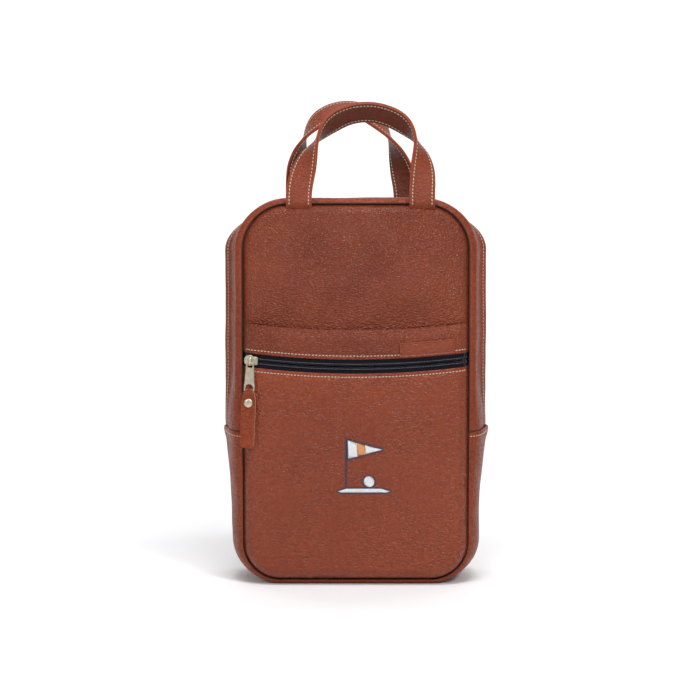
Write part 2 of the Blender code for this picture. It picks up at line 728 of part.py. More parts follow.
def add_slider_set(name, frame, bail_along, tab_frame, length):
    """A slider with its tab, its leather pull and the pull's rivet."""
    add_slider(name + "_slider", frame, bail_along)
    add_tab(name + "_tab", tab_frame)
    pull_frame = tab_frame @ Matrix.Translation(((TAB_SLOT[1] + TAB_FOOT) / 2, 0, 0))
    add_pull(name + "_pull", pull_frame, length)
    add_rivet(name + "_rivet", pull_frame @ Matrix.Translation((RIVET_AT, 0, 0)))


closed_frame = zip_frame(POCKET_SLIDER_X)
DOWN = Vector((0, -1, 0))
tab_origin = Matrix.Translation((0.0, CROSSBAR_IN - BAIL_HALF_LENGTH, TAB_LEVEL))
hanging = Matrix.Rotation(POCKET_TAB_YAW, 4, "Z") @ frame_matrix((0, 0, 0), DOWN, RIGHT, UP)
add_slider_set("pocket", closed_frame, False, closed_frame @ tab_origin @ hanging, PULL_LENGTH)

valley = (0.0, SEAM_TOP, 0.0, 1.0)
for side_name, side in (("left", -1), ("right", 1)):
    level = skin(valley, 0.0, TAPE_MIDDLE)
    at = Vector((side * MAIN_SLIDER_X, level.y, level.z))
    frame = frame_matrix(at, RIGHT * side, Vector((0, side, 0)), UP)
    tab_frame = frame @ Matrix.Translation((BAIL_HALF_LENGTH - CROSSBAR_IN, 0, TAB_LEVEL))
    add_slider_set("main_" + side_name, frame, True, tab_frame, MAIN_PULL_LENGTH)

STOP_X = 0.1015
stop = box_mesh(
    "pocket_zip_end_stop", (-0.0010, -0.0036, COIL_TOP + GAP), (0.0010, 0.0036, COIL_TOP + 0.0012)
)
add_part("pocket_zip_end_stop", stop, BRASS).matrix_world = zip_frame(STOP_X)


# ---------------------------------------------------------------- handles

HANDLE_STEPS = 32


def add_handle(name, seam_y, towards, centre_x, half_spacing, height, side_lean):
    """Two plies of strap from foot to foot; towards is the direction from the bag's middle."""
    pivot = Vector((centre_x, seam_y + towards * HANDLE_PIVOT_OUT, SEAM_TOP + HANDLE_PIVOT_RISE))

    def middle_line(share):
        turn = math.pi * share
        rise = math.sin(turn)
        across = math.cos(turn) * (1 + HANDLE_UPRIGHT * rise**2)
        x = -half_spacing * across + side_lean * smooth(1.25 * rise)
        return pivot + Vector((x, -towards * HANDLE_LEAN_IN * rise**2, height * rise))

    def section(share):
        """The strap's middle, and the directions across its width and through its thickness."""
        at = middle_line(share)
        step = 0.002
        tangent = (middle_line(share + step) - middle_line(share - step)).normalized()
        inward = Vector((tangent.z, 0.0, -tangent.x)).normalized()
        from_foot = min(share, 1 - share) * 2
        start, end = HANDLE_TURN_OVER
        turn = HANDLE_TURN * smooth((from_foot - start) / (end - start))
        width = inward * math.cos(turn) + Vector((0, towards, 0)) * math.sin(turn)
        width = (width - tangent * width.dot(tangent)).normalized()
        return at, width, tangent.cross(width)

    sections = [section(k / HANDLE_STEPS) for k in range(HANDLE_STEPS + 1)]
    for end in (0, -1):
        at, width, through = sections[end]
        sections[end] = (at - Vector((0, 0, HANDLE_END_BELOW)), width, through)
    for ply_name, side in (("outer", -1), ("inner", 1)):
        offset = -towards * side * (HANDLE_PLY + GAP) / 2

        def place(i, j):
            at, width, through = sections[i]
            across = HANDLE_WIDTH * (j / 4 - 0.5)
            return at + width * across + through * offset

        ply = name + "_" + ply_name + "_ply"
        bent_sheet(ply, TAN_LEATHER, HANDLE_STEPS, 4, place, HANDLE_PLY, pivot, grows=0)


add_handle(
    "front_handle", FRONT_SEAM_Y, -1, FRONT_HANDLE_X, FRONT_HANDLE_HALF_SPACING,
    FRONT_HANDLE_HEIGHT, FRONT_HANDLE_SIDE_LEAN,
)
add_handle(
    "back_handle", BACK_SEAM_Y, 1, BACK_HANDLE_X, BACK_HANDLE_HALF_SPACING,
    BACK_HANDLE_HEIGHT, BACK_HANDLE_SIDE_LEAN,
)
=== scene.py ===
import json
import math

import bmesh
import bpy
import numpy as np
from mathutils import Matrix, Vector, noise


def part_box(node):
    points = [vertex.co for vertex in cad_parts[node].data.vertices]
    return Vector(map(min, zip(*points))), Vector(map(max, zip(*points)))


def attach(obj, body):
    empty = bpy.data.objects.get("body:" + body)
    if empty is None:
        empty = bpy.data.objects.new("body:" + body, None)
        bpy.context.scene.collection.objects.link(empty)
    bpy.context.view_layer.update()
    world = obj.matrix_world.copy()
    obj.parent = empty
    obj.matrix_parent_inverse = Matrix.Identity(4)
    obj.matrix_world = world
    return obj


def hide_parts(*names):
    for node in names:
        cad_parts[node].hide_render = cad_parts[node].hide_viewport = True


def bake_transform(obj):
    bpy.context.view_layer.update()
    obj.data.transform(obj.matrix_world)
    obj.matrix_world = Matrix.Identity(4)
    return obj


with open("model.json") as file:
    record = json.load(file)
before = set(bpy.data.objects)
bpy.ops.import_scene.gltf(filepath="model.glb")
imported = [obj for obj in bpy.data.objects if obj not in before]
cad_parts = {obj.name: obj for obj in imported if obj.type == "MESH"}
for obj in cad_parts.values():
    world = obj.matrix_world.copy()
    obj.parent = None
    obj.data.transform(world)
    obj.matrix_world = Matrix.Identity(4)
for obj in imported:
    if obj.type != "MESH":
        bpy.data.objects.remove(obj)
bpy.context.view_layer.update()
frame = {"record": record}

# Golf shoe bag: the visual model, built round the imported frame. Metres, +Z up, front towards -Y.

# ---------------------------------------------------------------- dimensions

BODY = "bag_body"

panel_low, panel_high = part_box("front_panel")
SEAM_Y = panel_high.y  # the plane of the front seam
BACK_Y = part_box("back_panel")[0].y
MIDDLE_Y = (SEAM_Y + BACK_Y) / 2
HALF_DEPTH = (BACK_Y - SEAM_Y) / 2
HALF_WIDTH = panel_high.x - 0.0002
TOP, BOTTOM = panel_high.z - 0.0001, panel_low.z + 0.0001
MIDDLE_Z, HALF_HEIGHT = (TOP + BOTTOM) / 2, (TOP - BOTTOM) / 2
TOP_RADIUS, BOTTOM_RADIUS = 0.044, 0.036
STRAIGHT_TOP = HALF_WIDTH - TOP_RADIUS
STRAIGHT_BASE = HALF_WIDTH - BOTTOM_RADIUS

CROWN = 0.008
SIDE_HIGH, SIDE_LOW = 0.0197, 0.0132
SWELL_FROM, SWELL_TO = 0.06, 0.16
TOP_ROLL, TOP_SAG = 0.0085, 1.45
BASE_FLAT = 0.78
ROLL_BACK = 0.0028  # how far the gusset's edges lie behind the planes of the seams

LEATHER = 0.0015
POCKET_LEVEL = 0.0068
LIP_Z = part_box("gusset_lower")[1].z
LIP_PROUD = 0.0018
SLOT = 0.10  # half width of the main zip's slot, as a share of half the depth
TAPE_INSET = 0.0022

ZIP_Z, ZIP_HALF_SLOT = 0.2105, 0.0065
STITCH_PITCH, STITCH_SHARE = 0.0032, 0.72  # from stitch to stitch, and the share of it that shows thread
STITCH_IN = 0.0035  # from an edge on the pocket or the band to its stitches
TAPE_THICKNESS = 0.0006


def smooth(value):
    value = np.clip(value, 0.0, 1.0)
    return value * value * (3 - 2 * value)


def unit(vectors):
    return vectors / np.linalg.norm(vectors, axis=-1, keepdims=True)


# ---------------------------------------------------------------- shape of the bag


def crown(x, z):
    return CROWN * (1 - (x / HALF_WIDTH) ** 2) * (1 - ((z - MIDDLE_Z) / HALF_HEIGHT) ** 2)


def seam_distance(x, z):
    """How far (x, z) lies in from the rounded outline of the front and back seams."""
    radius = np.where(z > MIDDLE_Z, TOP_RADIUS, BOTTOM_RADIUS)
    across = np.abs(x) - (HALF_WIDTH - radius)
    up = np.abs(z - MIDDLE_Z) - (HALF_HEIGHT - radius)
    round_part = np.hypot(np.maximum(across, 0), np.maximum(up, 0))
    return radius - round_part - np.minimum(np.maximum(across, up), 0)


def half_width_at(z):
    """Half the width of that outline at height z."""
    half = np.full_like(z, HALF_WIDTH)
    for edge, radius in ((TOP, TOP_RADIUS), (BOTTOM, BOTTOM_RADIUS)):
        past = radius - np.abs(edge - z)
        rounded = HALF_WIDTH - radius + np.sqrt(np.maximum(0.0, radius**2 - past**2))
        half = np.where(past > 0, rounded, half)
    return half


def turned_in(distance, width, depth):
    """How far leather dips where it turns in to a seam."""
    share = np.clip(1 - distance / width, 0.0, 1.0)
    return depth * (1 - np.sqrt(1 - share**2))


def outline(run):
    """The seam outline at a run clockwise from the top's middle: x, z and the outward direction."""
    side_length = HALF_HEIGHT * 2 - TOP_RADIUS - BOTTOM_RADIUS
    ends = np.cumsum([STRAIGHT_TOP, TOP_RADIUS * math.pi / 2, side_length, BOTTOM_RADIUS * math.pi / 2])
    total = ends[-1] + STRAIGHT_BASE
    side = np.where((run >= 0) & (run <= total), 1.0, -1.0)
    t = np.where(run > total, 2 * total - run, np.abs(run))
    a1 = (t - ends[0]) / TOP_RADIUS
    a2 = (t - ends[2]) / BOTTOM_RADIUS
    corner_top, corner_low = TOP - TOP_RADIUS, BOTTOM + BOTTOM_RADIUS
    cases = [t <= ends[0], t <= ends[1], t <= ends[2], t <= ends[3], t > ends[3]]
    one, none = np.ones_like(t), np.zeros_like(t)
    x = np.select(cases, [
        t, STRAIGHT_TOP + TOP_RADIUS * np.sin(a1), HALF_WIDTH * one,
        STRAIGHT_BASE + BOTTOM_RADIUS * np.cos(a2), total - t])
    z = np.select(cases, [
        TOP * one, corner_top + TOP_RADIUS * np.cos(a1), corner_top - (t - ends[1]),
        corner_low - BOTTOM_RADIUS * np.sin(a2), BOTTOM * one])
    out_x = np.select(cases, [none, np.sin(a1), one, np.cos(a2), none])
    out_z = np.select(cases, [one, np.cos(a1), none, -np.sin(a2), -one])
    return x * side, z, out_x * side, out_z


SIDE_END = STRAIGHT_TOP + TOP_RADIUS * math.pi / 2
LIP_RUN = SIDE_END + (TOP - TOP_RADIUS - LIP_Z)  # the run down to the lower gusset's edge
HALF_RUN = SIDE_END + (HALF_HEIGHT * 2 - TOP_RADIUS - BOTTOM_RADIUS) + BOTTOM_RADIUS * math.pi / 2 + STRAIGHT_BASE


def side_profile(inside, z):
    """The gusset's section: a plain dome low down, a rolled seam and a peak at the zip higher up."""
    dome = (1 - inside**2.4) ** 0.56
    run = 1 - inside
    roll = np.sqrt(1 - (1 - np.clip(run / 0.13, 0, 1)) ** 2)
    slope = np.clip((run - 0.03) / 0.87, 0, 1)
    peaked = 0.34 * roll + 0.42 * slope + 0.24 * smooth((run - 0.62) / 0.28)
    share = 0.35 * smooth((z - 0.08) / 0.07) + 0.65 * smooth((z - LIP_Z) / 0.06)
    return dome + (peaked - dome) * share


def skin(run, depth, proud=0.0):
    """The gusset's outer face: depth runs from -1 at the front seam to 1 at the back."""
    run, depth = np.broadcast_arrays(np.asarray(run, float), np.asarray(depth, float))
    x, z, out_x, out_z = outline(run)
    inside = np.clip(np.abs(depth), 0, 1)
    grown = smooth((z - SWELL_FROM) / (SWELL_TO - SWELL_FROM))
    side = side_profile(inside, z) * (SIDE_LOW + (SIDE_HIGH - SIDE_LOW) * grown)
    top = TOP_ROLL * np.sqrt(1 - inside**6) * (1 - TOP_SAG * (1 - inside**2) ** 2)
    past = np.maximum(0.0, (inside - BASE_FLAT) / (1 - BASE_FLAT))
    base = BOTTOM * (1 - past**2.5) ** 0.6
    end = np.where(out_z > 0, top, base)
    side = side + proud
    y = MIDDLE_Y + depth * (HALF_DEPTH - ROLL_BACK)
    return np.stack([x + out_x * side, y, z + out_z * end], axis=-1)


def skin_normal(run, depth):
    step = 0.002
    along = skin(run + step, depth) - skin(run - step, depth)
    lower = np.maximum(np.asarray(depth) - 0.02, -1.0)
    upper = np.minimum(np.asarray(depth) + 0.02, 1.0)
    across = skin(run, upper) - skin(run, lower)
    return unit(np.cross(across, along)) * -1.0


def ripple(points, scale, seed):
    """Smooth noise from -1 to 1 at each point; scale is the size of its bumps in metres."""
    shape = points.shape[:-1]
    flat = points.reshape(-1, 3) / scale + seed
    return np.array([noise.noise(Vector(p)) for p in flat]).reshape(shape)


# ---------------------------------------------------------------- mesh helpers


def new_object(name, vertices, faces, look, body=None):
    mesh = bpy.data.meshes.new(name)
    mesh.from_pydata([tuple(v) for v in vertices], [], [tuple(f) for f in faces])
    mesh.update()
    obj = bpy.data.objects.new(name, mesh)
    bpy.context.scene.collection.objects.link(obj)
    for material in look if isinstance(look, (list, tuple)) else [look]:
        mesh.materials.append(material)
    mesh.shade_smooth()
    if body:
        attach(obj, body)
    return obj


def grid_faces(rows, columns):
    corner = np.arange(rows * columns).reshape(rows, columns)
    a, b = corner[:-1, :-1], corner[:-1, 1:]
    c, d = corner[1:, 1:], corner[1:, :-1]
    return np.stack([a, b, c, d], axis=-1).reshape(-1, 4)


def sheet_object(name, points, look, body=BODY, flip=False):
    """A sheet through a grid of points, rows first."""
    faces = grid_faces(*points.shape[:2])
    if flip:
        faces = faces[:, ::-1]
    return new_object(name, points.reshape(-1, 3), faces, look, body)


def paint_shade(obj, is_dark):
    """Gives the faces that is_dark picks a near-black colour: painted shade down in a seam, and painted shadow
    where asked.
    """
    obj.data.materials.append(PAINTED_SEAM_SHADE)
    centres = np.empty(len(obj.data.polygons) * 3)
    obj.data.polygons.foreach_get("center", centres)
    obj.data.polygons.foreach_set("material_index", is_dark(*centres.reshape(-1, 3).T).astype(np.int32))


def thicken(obj, thickness, rim=0, bevel=0.0):
    """Gives a sheet its thickness, half to each side, and applies it."""
    shell = obj.modifiers.new("thickness", "SOLIDIFY")
    shell.thickness = thickness
    shell.offset = 0.0
    shell.use_even_offset = True
    shell.material_offset_rim = rim
    if bevel:
        soften = obj.modifiers.new("edges", "BEVEL")
        soften.width = bevel
        soften.segments = 2
        soften.limit_method = "ANGLE"
        soften.angle_limit = math.radians(50)
    bpy.context.view_layer.update()
    made = bpy.data.meshes.new_from_object(obj.evaluated_get(bpy.context.evaluated_depsgraph_get()))
    old = obj.data
    obj.modifiers.clear()
    obj.data = made
    bpy.data.meshes.remove(old)


def capsule(length, width, height, around=8, along=5):
    """A small rounded bar along x, centred on the origin."""
    turns = np.linspace(0, 2 * math.pi, around, endpoint=False)
    rings = []
    for e in np.linspace(-1, 1, along):
        swell = math.sqrt(max(0.0, 1 - abs(e) ** 3.0)) if abs(e) < 1 else 0.25
        wide, high = swell * width / 2, swell * height / 2
        rings += [(e * length / 2, wide * math.cos(t), high * math.sin(t)) for t in turns]
    faces = []
    for r in range(along - 1):
        for k in range(around):
            n = (k + 1) % around
            faces.append([r * around + k, r * around + n, (r + 1) * around + n, (r + 1) * around + k])
    last = (along - 1) * around
    faces += [list(range(around))[::-1], [last + k for k in range(around)]]
    return np.array(rings), faces


def scatter(name, origins, along, out, shape, look, body=BODY, stretch=None):
    """Copies of a small shape, each with its own place, directions and stretch along its length."""
    vertices, faces = shape
    along, out = unit(along), unit(out)
    across = unit(np.cross(out, along))
    out = np.cross(along, across)
    axes = np.stack([along, across, out], axis=1)
    if stretch is not None:
        axes[:, 0] *= stretch[:, None]
    placed = np.einsum("vi,nij->nvj", vertices, axes) + origins[:, None, :]
    count = len(vertices)
    all_faces = [[v + k * count for v in f] for k in range(len(origins)) for f in faces]
    return new_object(name, placed.reshape(-1, 3), all_faces, look, body)


def resample(points, pitch):
    """Even places along a line of points, and the line's direction there."""
    lengths = np.concatenate([[0], np.cumsum(np.linalg.norm(np.diff(points, axis=0), axis=1))])
    count = max(1, int(lengths[-1] / pitch))
    at = (np.arange(count) + 0.5) * lengths[-1] / count
    ahead = np.minimum(at + pitch * 0.25, lengths[-1])
    behind = np.maximum(at - pitch * 0.25, 0)

    def read(where, values):
        return np.stack([np.interp(where, lengths, values[:, k]) for k in range(values.shape[1])], axis=1)

    return read(at, points), read(ahead, points) - read(behind, points), lambda v: read(at, v)


def stitch_line(name, points, normals, body=BODY, pitch=STITCH_PITCH):
    """A row of stitches along a line on the leather, each a little sunk and slanted."""
    origins, along, read = resample(points, pitch)
    out = unit(read(normals))
    across = unit(np.cross(out, along))
    slant = unit(unit(along) + across * 0.10)
    shape = capsule(pitch * STITCH_SHARE, 0.00095, 0.00080)
    sewn = scatter(name, origins - out * 0.00006, slant, out, shape, CREAM, body)
    return sewn


def framed(origin, along, across):
    """The matrix that carries a piece's own x and y onto two directions at origin."""
    along = Vector(along).normalized()
    out = along.cross(Vector(across)).normalized()
    across = out.cross(along)
    turn = Matrix([[c[k] for c in (along, across, out)] for k in range(3)])
    return Matrix.Translation(origin) @ turn.to_4x4()


def place_mesh(name, mesh, matrix, look, body):
    mesh.transform(matrix)
    mesh.name = name
    obj = bpy.data.objects.new(name, mesh)
    bpy.context.scene.collection.objects.link(obj)
    mesh.materials.clear()
    mesh.materials.append(look)
    mesh.shade_smooth()
    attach(obj, body)
    return obj


def flat_piece(name, outlines, low, high, bevel, matrix, look, body):
    """A plate with rounded edges between two heights: the first outline, less the others."""
    curve = bpy.data.curves.new(name, "CURVE")
    curve.dimensions = "2D"
    curve.fill_mode = "BOTH"
    curve.extrude = (high - low) / 2 - bevel
    curve.bevel_depth = bevel
    curve.bevel_resolution = 2
    curve.offset = -bevel
    for outline_points in outlines:
        line = curve.splines.new("POLY")
        line.points.add(len(outline_points) - 1)
        for target, (x, y) in zip(line.points, outline_points):
            target.co = (x, y, 0.0, 1.0)
        line.use_cyclic_u = True
    holder = bpy.data.objects.new(name + "_curve", curve)
    mesh = bpy.data.meshes.new_from_object(holder)
    bpy.data.objects.remove(holder)
    bpy.data.curves.remove(curve)
    mesh.transform(Matrix.Translation((0, 0, (low + high) / 2)))
    obj = place_mesh(name, mesh, matrix, look, body)
    mesh.set_sharp_from_angle(angle=math.radians(40))
    return obj


def rounded(corners, radius, steps=5):
    """A closed outline with each corner rounded; radius is one number or one for each corner."""
    points = []
    count = len(corners)
    for k, corner in enumerate(corners):
        size = radius[k] if isinstance(radius, (list, tuple)) else radius
        here = Vector(corner)
        before = (Vector(corners[k - 1]) - here).normalized()
        after = (Vector(corners[(k + 1) % count]) - here).normalized()
        start, end = here + before * size, here + after * size
        for step in range(steps + 1):
            t = step / steps
            points.append(tuple(start * (1 - t) ** 2 + here * 2 * t * (1 - t) + end * t**2))
    return points


def face_outwards(mesh, merge=False):
    clean = bmesh.new()
    clean.from_mesh(mesh)
    if merge:
        bmesh.ops.remove_doubles(clean, verts=clean.verts, dist=1e-7)
    bmesh.ops.recalc_face_normals(clean, faces=clean.faces)
    clean.to_mesh(mesh)
    clean.free()


def revolve(name, profile, matrix, look, body):
    """A turned piece from (radius, height) points, axis to axis."""
    steps = 40
    turns = np.linspace(0, 2 * math.pi, steps, endpoint=False)
    rings = [[(r * math.cos(a), r * math.sin(a), h) for a in turns] for r, h in profile]
    vertices = [v for ring in rings for v in ring]
    faces = []
    for k in range(len(profile) - 1):
        for s in range(steps):
            n = (s + 1) % steps
            faces.append((k * steps + s, k * steps + n, (k + 1) * steps + n, (k + 1) * steps + s))
    mesh = bpy.data.meshes.new(name)
    mesh.from_pydata(vertices, [], faces)
    face_outwards(mesh, merge=True)
    obj = place_mesh(name, mesh, matrix, look, body)
    mesh.set_sharp_from_angle(angle=math.radians(45))
    return obj


def swept(name, centres, wide, through, section, look, materials=None):
    """A closed section of (across, out) points carried along a line; its ends are closed."""
    count = len(section)
    across, out = section[:, 0], section[:, 1]
    points = centres[:, None] + wide[:, None] * across[None, :, None] + through[:, None] * out[None, :, None]
    faces = []
    for r in range(len(centres) - 1):
        for k in range(count):
            n = (k + 1) % count
            faces.append((r * count + k, r * count + n, (r + 1) * count + n, (r + 1) * count + k))
    last = (len(centres) - 1) * count
    faces += [list(range(count))[::-1], [last + k for k in range(count)]]
    obj = new_object(name, points.reshape(-1, 3), faces, look)
    if materials is not None:
        order = list(materials) * (len(centres) - 1) + [0, 0]
        obj.data.polygons.foreach_set("material_index", order)
    face_outwards(obj.data)
    return obj


# ---------------------------------------------------------------- materials


class Look:
    """A procedural material, built up node by node."""

    def __init__(self, name, roughness=0.5, metallic=0.0):
        self.material = bpy.data.materials.new(name)
        self.material.use_nodes = True
        self.tree = self.material.node_tree
        self.shader = self.tree.nodes["Principled BSDF"]
        self.shader.inputs["Roughness"].default_value = roughness
        self.shader.inputs["Metallic"].default_value = metallic
        self.place = self.node("ShaderNodeTexCoord").outputs["Object"]

    def node(self, kind, **values):
        made = self.tree.nodes.new(kind)
        for key, value in values.items():
            if hasattr(made, key):
                setattr(made, key, value)
            else:
                made.inputs[key.replace("_", " ")].default_value = value
        return made

    def put(self, value, socket):
        """Sets a socket to a number or a colour, or links a node's output to it."""
        if isinstance(value, tuple):
            socket.default_value = (*value, 1.0)
        elif isinstance(value, (int, float)):
            socket.default_value = value
        else:
            self.tree.links.new(value, socket)

    def stretched(self, scale):
        mapping = self.node("ShaderNodeMapping", Scale=scale)
        self.put(self.place, mapping.inputs["Vector"])
        return mapping.outputs["Vector"]

    def noise(self, scale, detail=3.0, roughness=0.55, vector=None):
        made = self.node("ShaderNodeTexNoise", Scale=scale, Detail=detail, Roughness=roughness)
        self.put(vector or self.place, made.inputs["Vector"])
        return made.outputs["Fac"]

    def ramp(self, source, stops):
        made = self.node("ShaderNodeValToRGB")
        ramp = made.color_ramp
        while len(ramp.elements) < len(stops):
            ramp.elements.new(0.5)
        for element, (at, colour) in zip(ramp.elements, stops):
            element.position = at
            element.color = (*colour, 1.0) if isinstance(colour, tuple) else (colour, colour, colour, 1.0)
        self.put(source, made.inputs["Fac"])
        return made.outputs["Color"]

    def math(self, operation, first, second):
        made = self.node("ShaderNodeMath", operation=operation)
        for socket, value in zip(made.inputs, (first, second)):
            self.put(value, socket)
        return made.outputs[0]

    def mix(self, factor, first, second, blend="MIX"):
        made = self.node("ShaderNodeMix", data_type="RGBA", blend_type=blend)
        for socket, value in zip((made.inputs[0], made.inputs[6], made.inputs[7]), (factor, first, second)):
            self.put(value, socket)
        return made.outputs[2]

    def bump(self, height, distance, strength=1.0, before=None):
        made = self.node("ShaderNodeBump", Distance=distance, Strength=strength)
        self.put(height, made.inputs["Height"])
        if before:
            self.put(before, made.inputs["Normal"])
        return made.outputs["Normal"]

    def finish(self, colour=None, roughness=None, normal=None):
        for value, socket in ((colour, "Base Color"), (roughness, "Roughness"), (normal, "Normal")):
            if value is not None:
                self.put(value, self.shader.inputs[socket])
        return self.material


def toned(colour, tone):
    return tuple(c * tone for c in colour)


def leather(name, grain, cell, tone=1.0, roughness=0.31, wrinkled=0.5, shine=0.40):
    """Pull-up red-brown leather: round pebbles cut by wavy creases, both deepened by grain."""
    look = Look(name, roughness)
    wobble = look.node("ShaderNodeTexNoise", Scale=420.0, Detail=1.0)
    look.put(look.place, wobble.inputs["Vector"])
    warp = look.node("ShaderNodeVectorMath", operation="SCALE", Scale=0.0016)
    look.put(wobble.outputs["Color"], warp.inputs[0])
    moved = look.node("ShaderNodeVectorMath", operation="ADD")
    look.put(look.stretched((0.80, 1.0, 1.2)), moved.inputs[0])
    look.put(warp.outputs["Vector"], moved.inputs[1])
    cells = look.node("ShaderNodeTexVoronoi", feature="SMOOTH_F1", Scale=1.0 / cell, Smoothness=0.25)
    look.put(moved.outputs["Vector"], cells.inputs["Vector"])
    pebbles = look.ramp(cells.outputs["Distance"], [(0.12, 1.0), (0.40, 0.70), (0.66, 0.0)])
    waves = look.noise(0.46 / cell, 2.5, 0.5, look.stretched((0.55, 1.0, 1.25)))
    away = look.math("ABSOLUTE", look.math("SUBTRACT", waves, 0.5), 0.0)
    creases = look.ramp(away, [(0.0, 0.0), (0.04, 0.70), (0.12, 1.0)])
    surface = look.mix(wrinkled, pebbles, creases)
    patches = look.ramp(look.noise(16.0, 2.0), [(0.36, 0.50), (0.64, 1.0)])
    height = look.math("MULTIPLY", surface, patches)
    normal = look.bump(look.noise(60.0, 3.0), 0.0016, 0.4)
    normal = look.bump(height, 0.00170 * grain, 1.0, normal)
    normal = look.bump(look.noise(1300.0, 2.0), 0.00006, 0.5, normal)
    warm, deep = toned((0.240, 0.0400, 0.0085), tone), toned((0.185, 0.0280, 0.0060), tone)
    colour = look.ramp(look.noise(9.0, 4.0, 0.6), [(0.30, deep), (0.70, warm)])
    # Darkens the colour in the grain's pits and creases and lifts the pebble tops a little: painted shade and a
    # faint painted highlight, strongest where the grain is deep.
    pit_shade = look.ramp(
        surface, [(0.05, (0.58, 0.46, 0.38)), (0.55, (0.93, 0.90, 0.88)), (0.9, (1.06, 1.06, 1.06))]
    )
    pit_shade = look.mix(patches, (1.0, 1.0, 1.0), pit_shade)
    colour = look.mix(min(1.0, grain), colour, look.mix(1.0, colour, pit_shade, "MULTIPLY"))
    mottle = look.ramp(look.noise(300.0, 3.0), [(0.35, 0.88), (0.65, 1.08)])
    colour = look.mix(1.0, colour, mottle, "MULTIPLY")
    worn = look.ramp(look.noise(26.0, 3.0), [(0.3, 0.0), (0.7, 0.12)])
    gloss = look.math("ADD", look.ramp(surface, [(0.1, roughness + 0.2), (0.6, roughness - 0.05)]), worn)
    look.shader.inputs["Specular IOR Level"].default_value = shine
    return look.finish(colour, gloss, normal)


def speckled(name, dark, light, roughness, specks, grit, bump, sheen=0.0):
    """A plain material with specks, given as scale and detail, and a fine bump, as depth and strength."""
    look = Look(name, roughness)
    shade = look.ramp(look.noise(*specks), [(0.3, dark), (0.7, light)])
    look.shader.inputs["Sheen Weight"].default_value = sheen
    return look.finish(shade, None, look.bump(look.noise(grit), *bump))


def thread(name, colour):
    return speckled(name, toned(colour, 0.72), colour, 0.6, (1400.0, 2.0), 2600.0, (0.00008, 0.6), 0.3)


def plastic(name, colour, roughness):
    return speckled(name, toned(colour, 0.8), colour, roughness, (900.0, 2.0), 1800.0, (0.00003, 0.4))


def woven(name, colour, pitch):
    """A plain weave from crossed waves."""
    look = Look(name, 0.85)
    waves = []
    for axis in ("X", "Z"):
        wave = look.node("ShaderNodeTexWave", wave_type="BANDS", bands_direction=axis)
        wave.inputs["Scale"].default_value = 0.31416 / pitch
        wave.inputs["Distortion"].default_value = 0.6
        look.put(look.place, wave.inputs["Vector"])
        waves.append(wave.outputs["Fac"])
    cross = look.math("MULTIPLY", waves[0], waves[1])
    shade = look.ramp(cross, [(0.0, toned(colour, 0.55)), (0.8, colour)])
    look.shader.inputs["Specular IOR Level"].default_value = 0.2
    return look.finish(shade, None, look.bump(cross, 0.0002, 0.6))


def metal(name, colour, roughness):
    look = Look(name, roughness, 1.0)
    worn = look.ramp(look.noise(240.0, 4.0), [(0.35, toned(colour, 0.80)), (0.65, colour)])
    gloss = look.ramp(look.noise(520.0, 3.0), [(0.3, roughness - 0.08), (0.7, roughness + 0.12)])
    return look.finish(worn, gloss, look.bump(look.noise(700.0, 3.0), 0.00005, 0.5))


GRAINED = leather("leather_grained", 0.62, 0.0019, tone=0.84, roughness=0.25, wrinkled=0.15, shine=0.36)
SMOOTHER = leather("leather_smoother", 0.5, 0.0023, tone=0.95, roughness=0.27, shine=0.38)
SOFT = leather("leather_soft", 0.5, 0.0021, roughness=0.36, shine=0.26)
STRAP = leather("leather_strap", 0.5, 0.0018, roughness=0.33, wrinkled=0.3)
# The strap leather at half tone: painted shade for the handles' inner side, which faces away from the light.
STRAP_INSIDE_SHADED = leather("leather_strap_inside_shaded", 0.4, 0.0018, tone=0.5, roughness=0.42)
STRAP_EDGE = leather("leather_strap_edge", 0.2, 0.0020, tone=1.3, roughness=0.42)
LABEL = leather("leather_label", 0.4, 0.0020, tone=0.96, roughness=0.34)
# Near black: painted shade for the faces down in seam grooves, and painted shadow just under the lower gusset's
# lip.
PAINTED_SEAM_SHADE = plastic("leather_painted_seam_shade", (0.040, 0.010, 0.005), 0.8)
RAW = speckled(
    "leather_raw_edge", (0.42, 0.20, 0.10), (0.60, 0.34, 0.19), 0.8, (900.0, 3.0), 1600.0, (0.0001, 0.5)
)
CREAM = thread("thread_cream", (0.62, 0.50, 0.36))
NAVY_THREAD = thread("thread_navy", (0.016, 0.024, 0.075))
WHITE_THREAD = thread("thread_white", (0.78, 0.78, 0.80))
ORANGE_THREAD = thread("thread_orange", (0.72, 0.30, 0.09))
TAPE_CLOTH = woven("tape_cloth", (0.0075, 0.0060, 0.0150), 0.00055)
COIL = plastic("coil_nylon", (0.012, 0.012, 0.018), 0.22)
COIL_THREAD = thread("thread_coil", (0.16, 0.16, 0.20))
BRASS = metal("aged_brass", (0.66, 0.60, 0.46), 0.34)
# Brass darkened to near black: painted shade for the pocket zip's end staple, which sits in shadow.
BRASS_PAINTED_SHADE = metal("brass_painted_shade", (0.045, 0.040, 0.036), 0.5)
LINING = woven("lining_cloth", (0.030, 0.034, 0.060), 0.0007)
BOARD = plastic("fibre_board", (0.10, 0.08, 0.06), 0.85)

# ---------------------------------------------------------------- front and back leather


def spaced(count, mix=0.55):
    """Shares from -1 to 1, closer together near both ends."""
    t = np.linspace(-1, 1, count)
    return (1 - mix) * t + mix * np.sin(t * math.pi / 2)


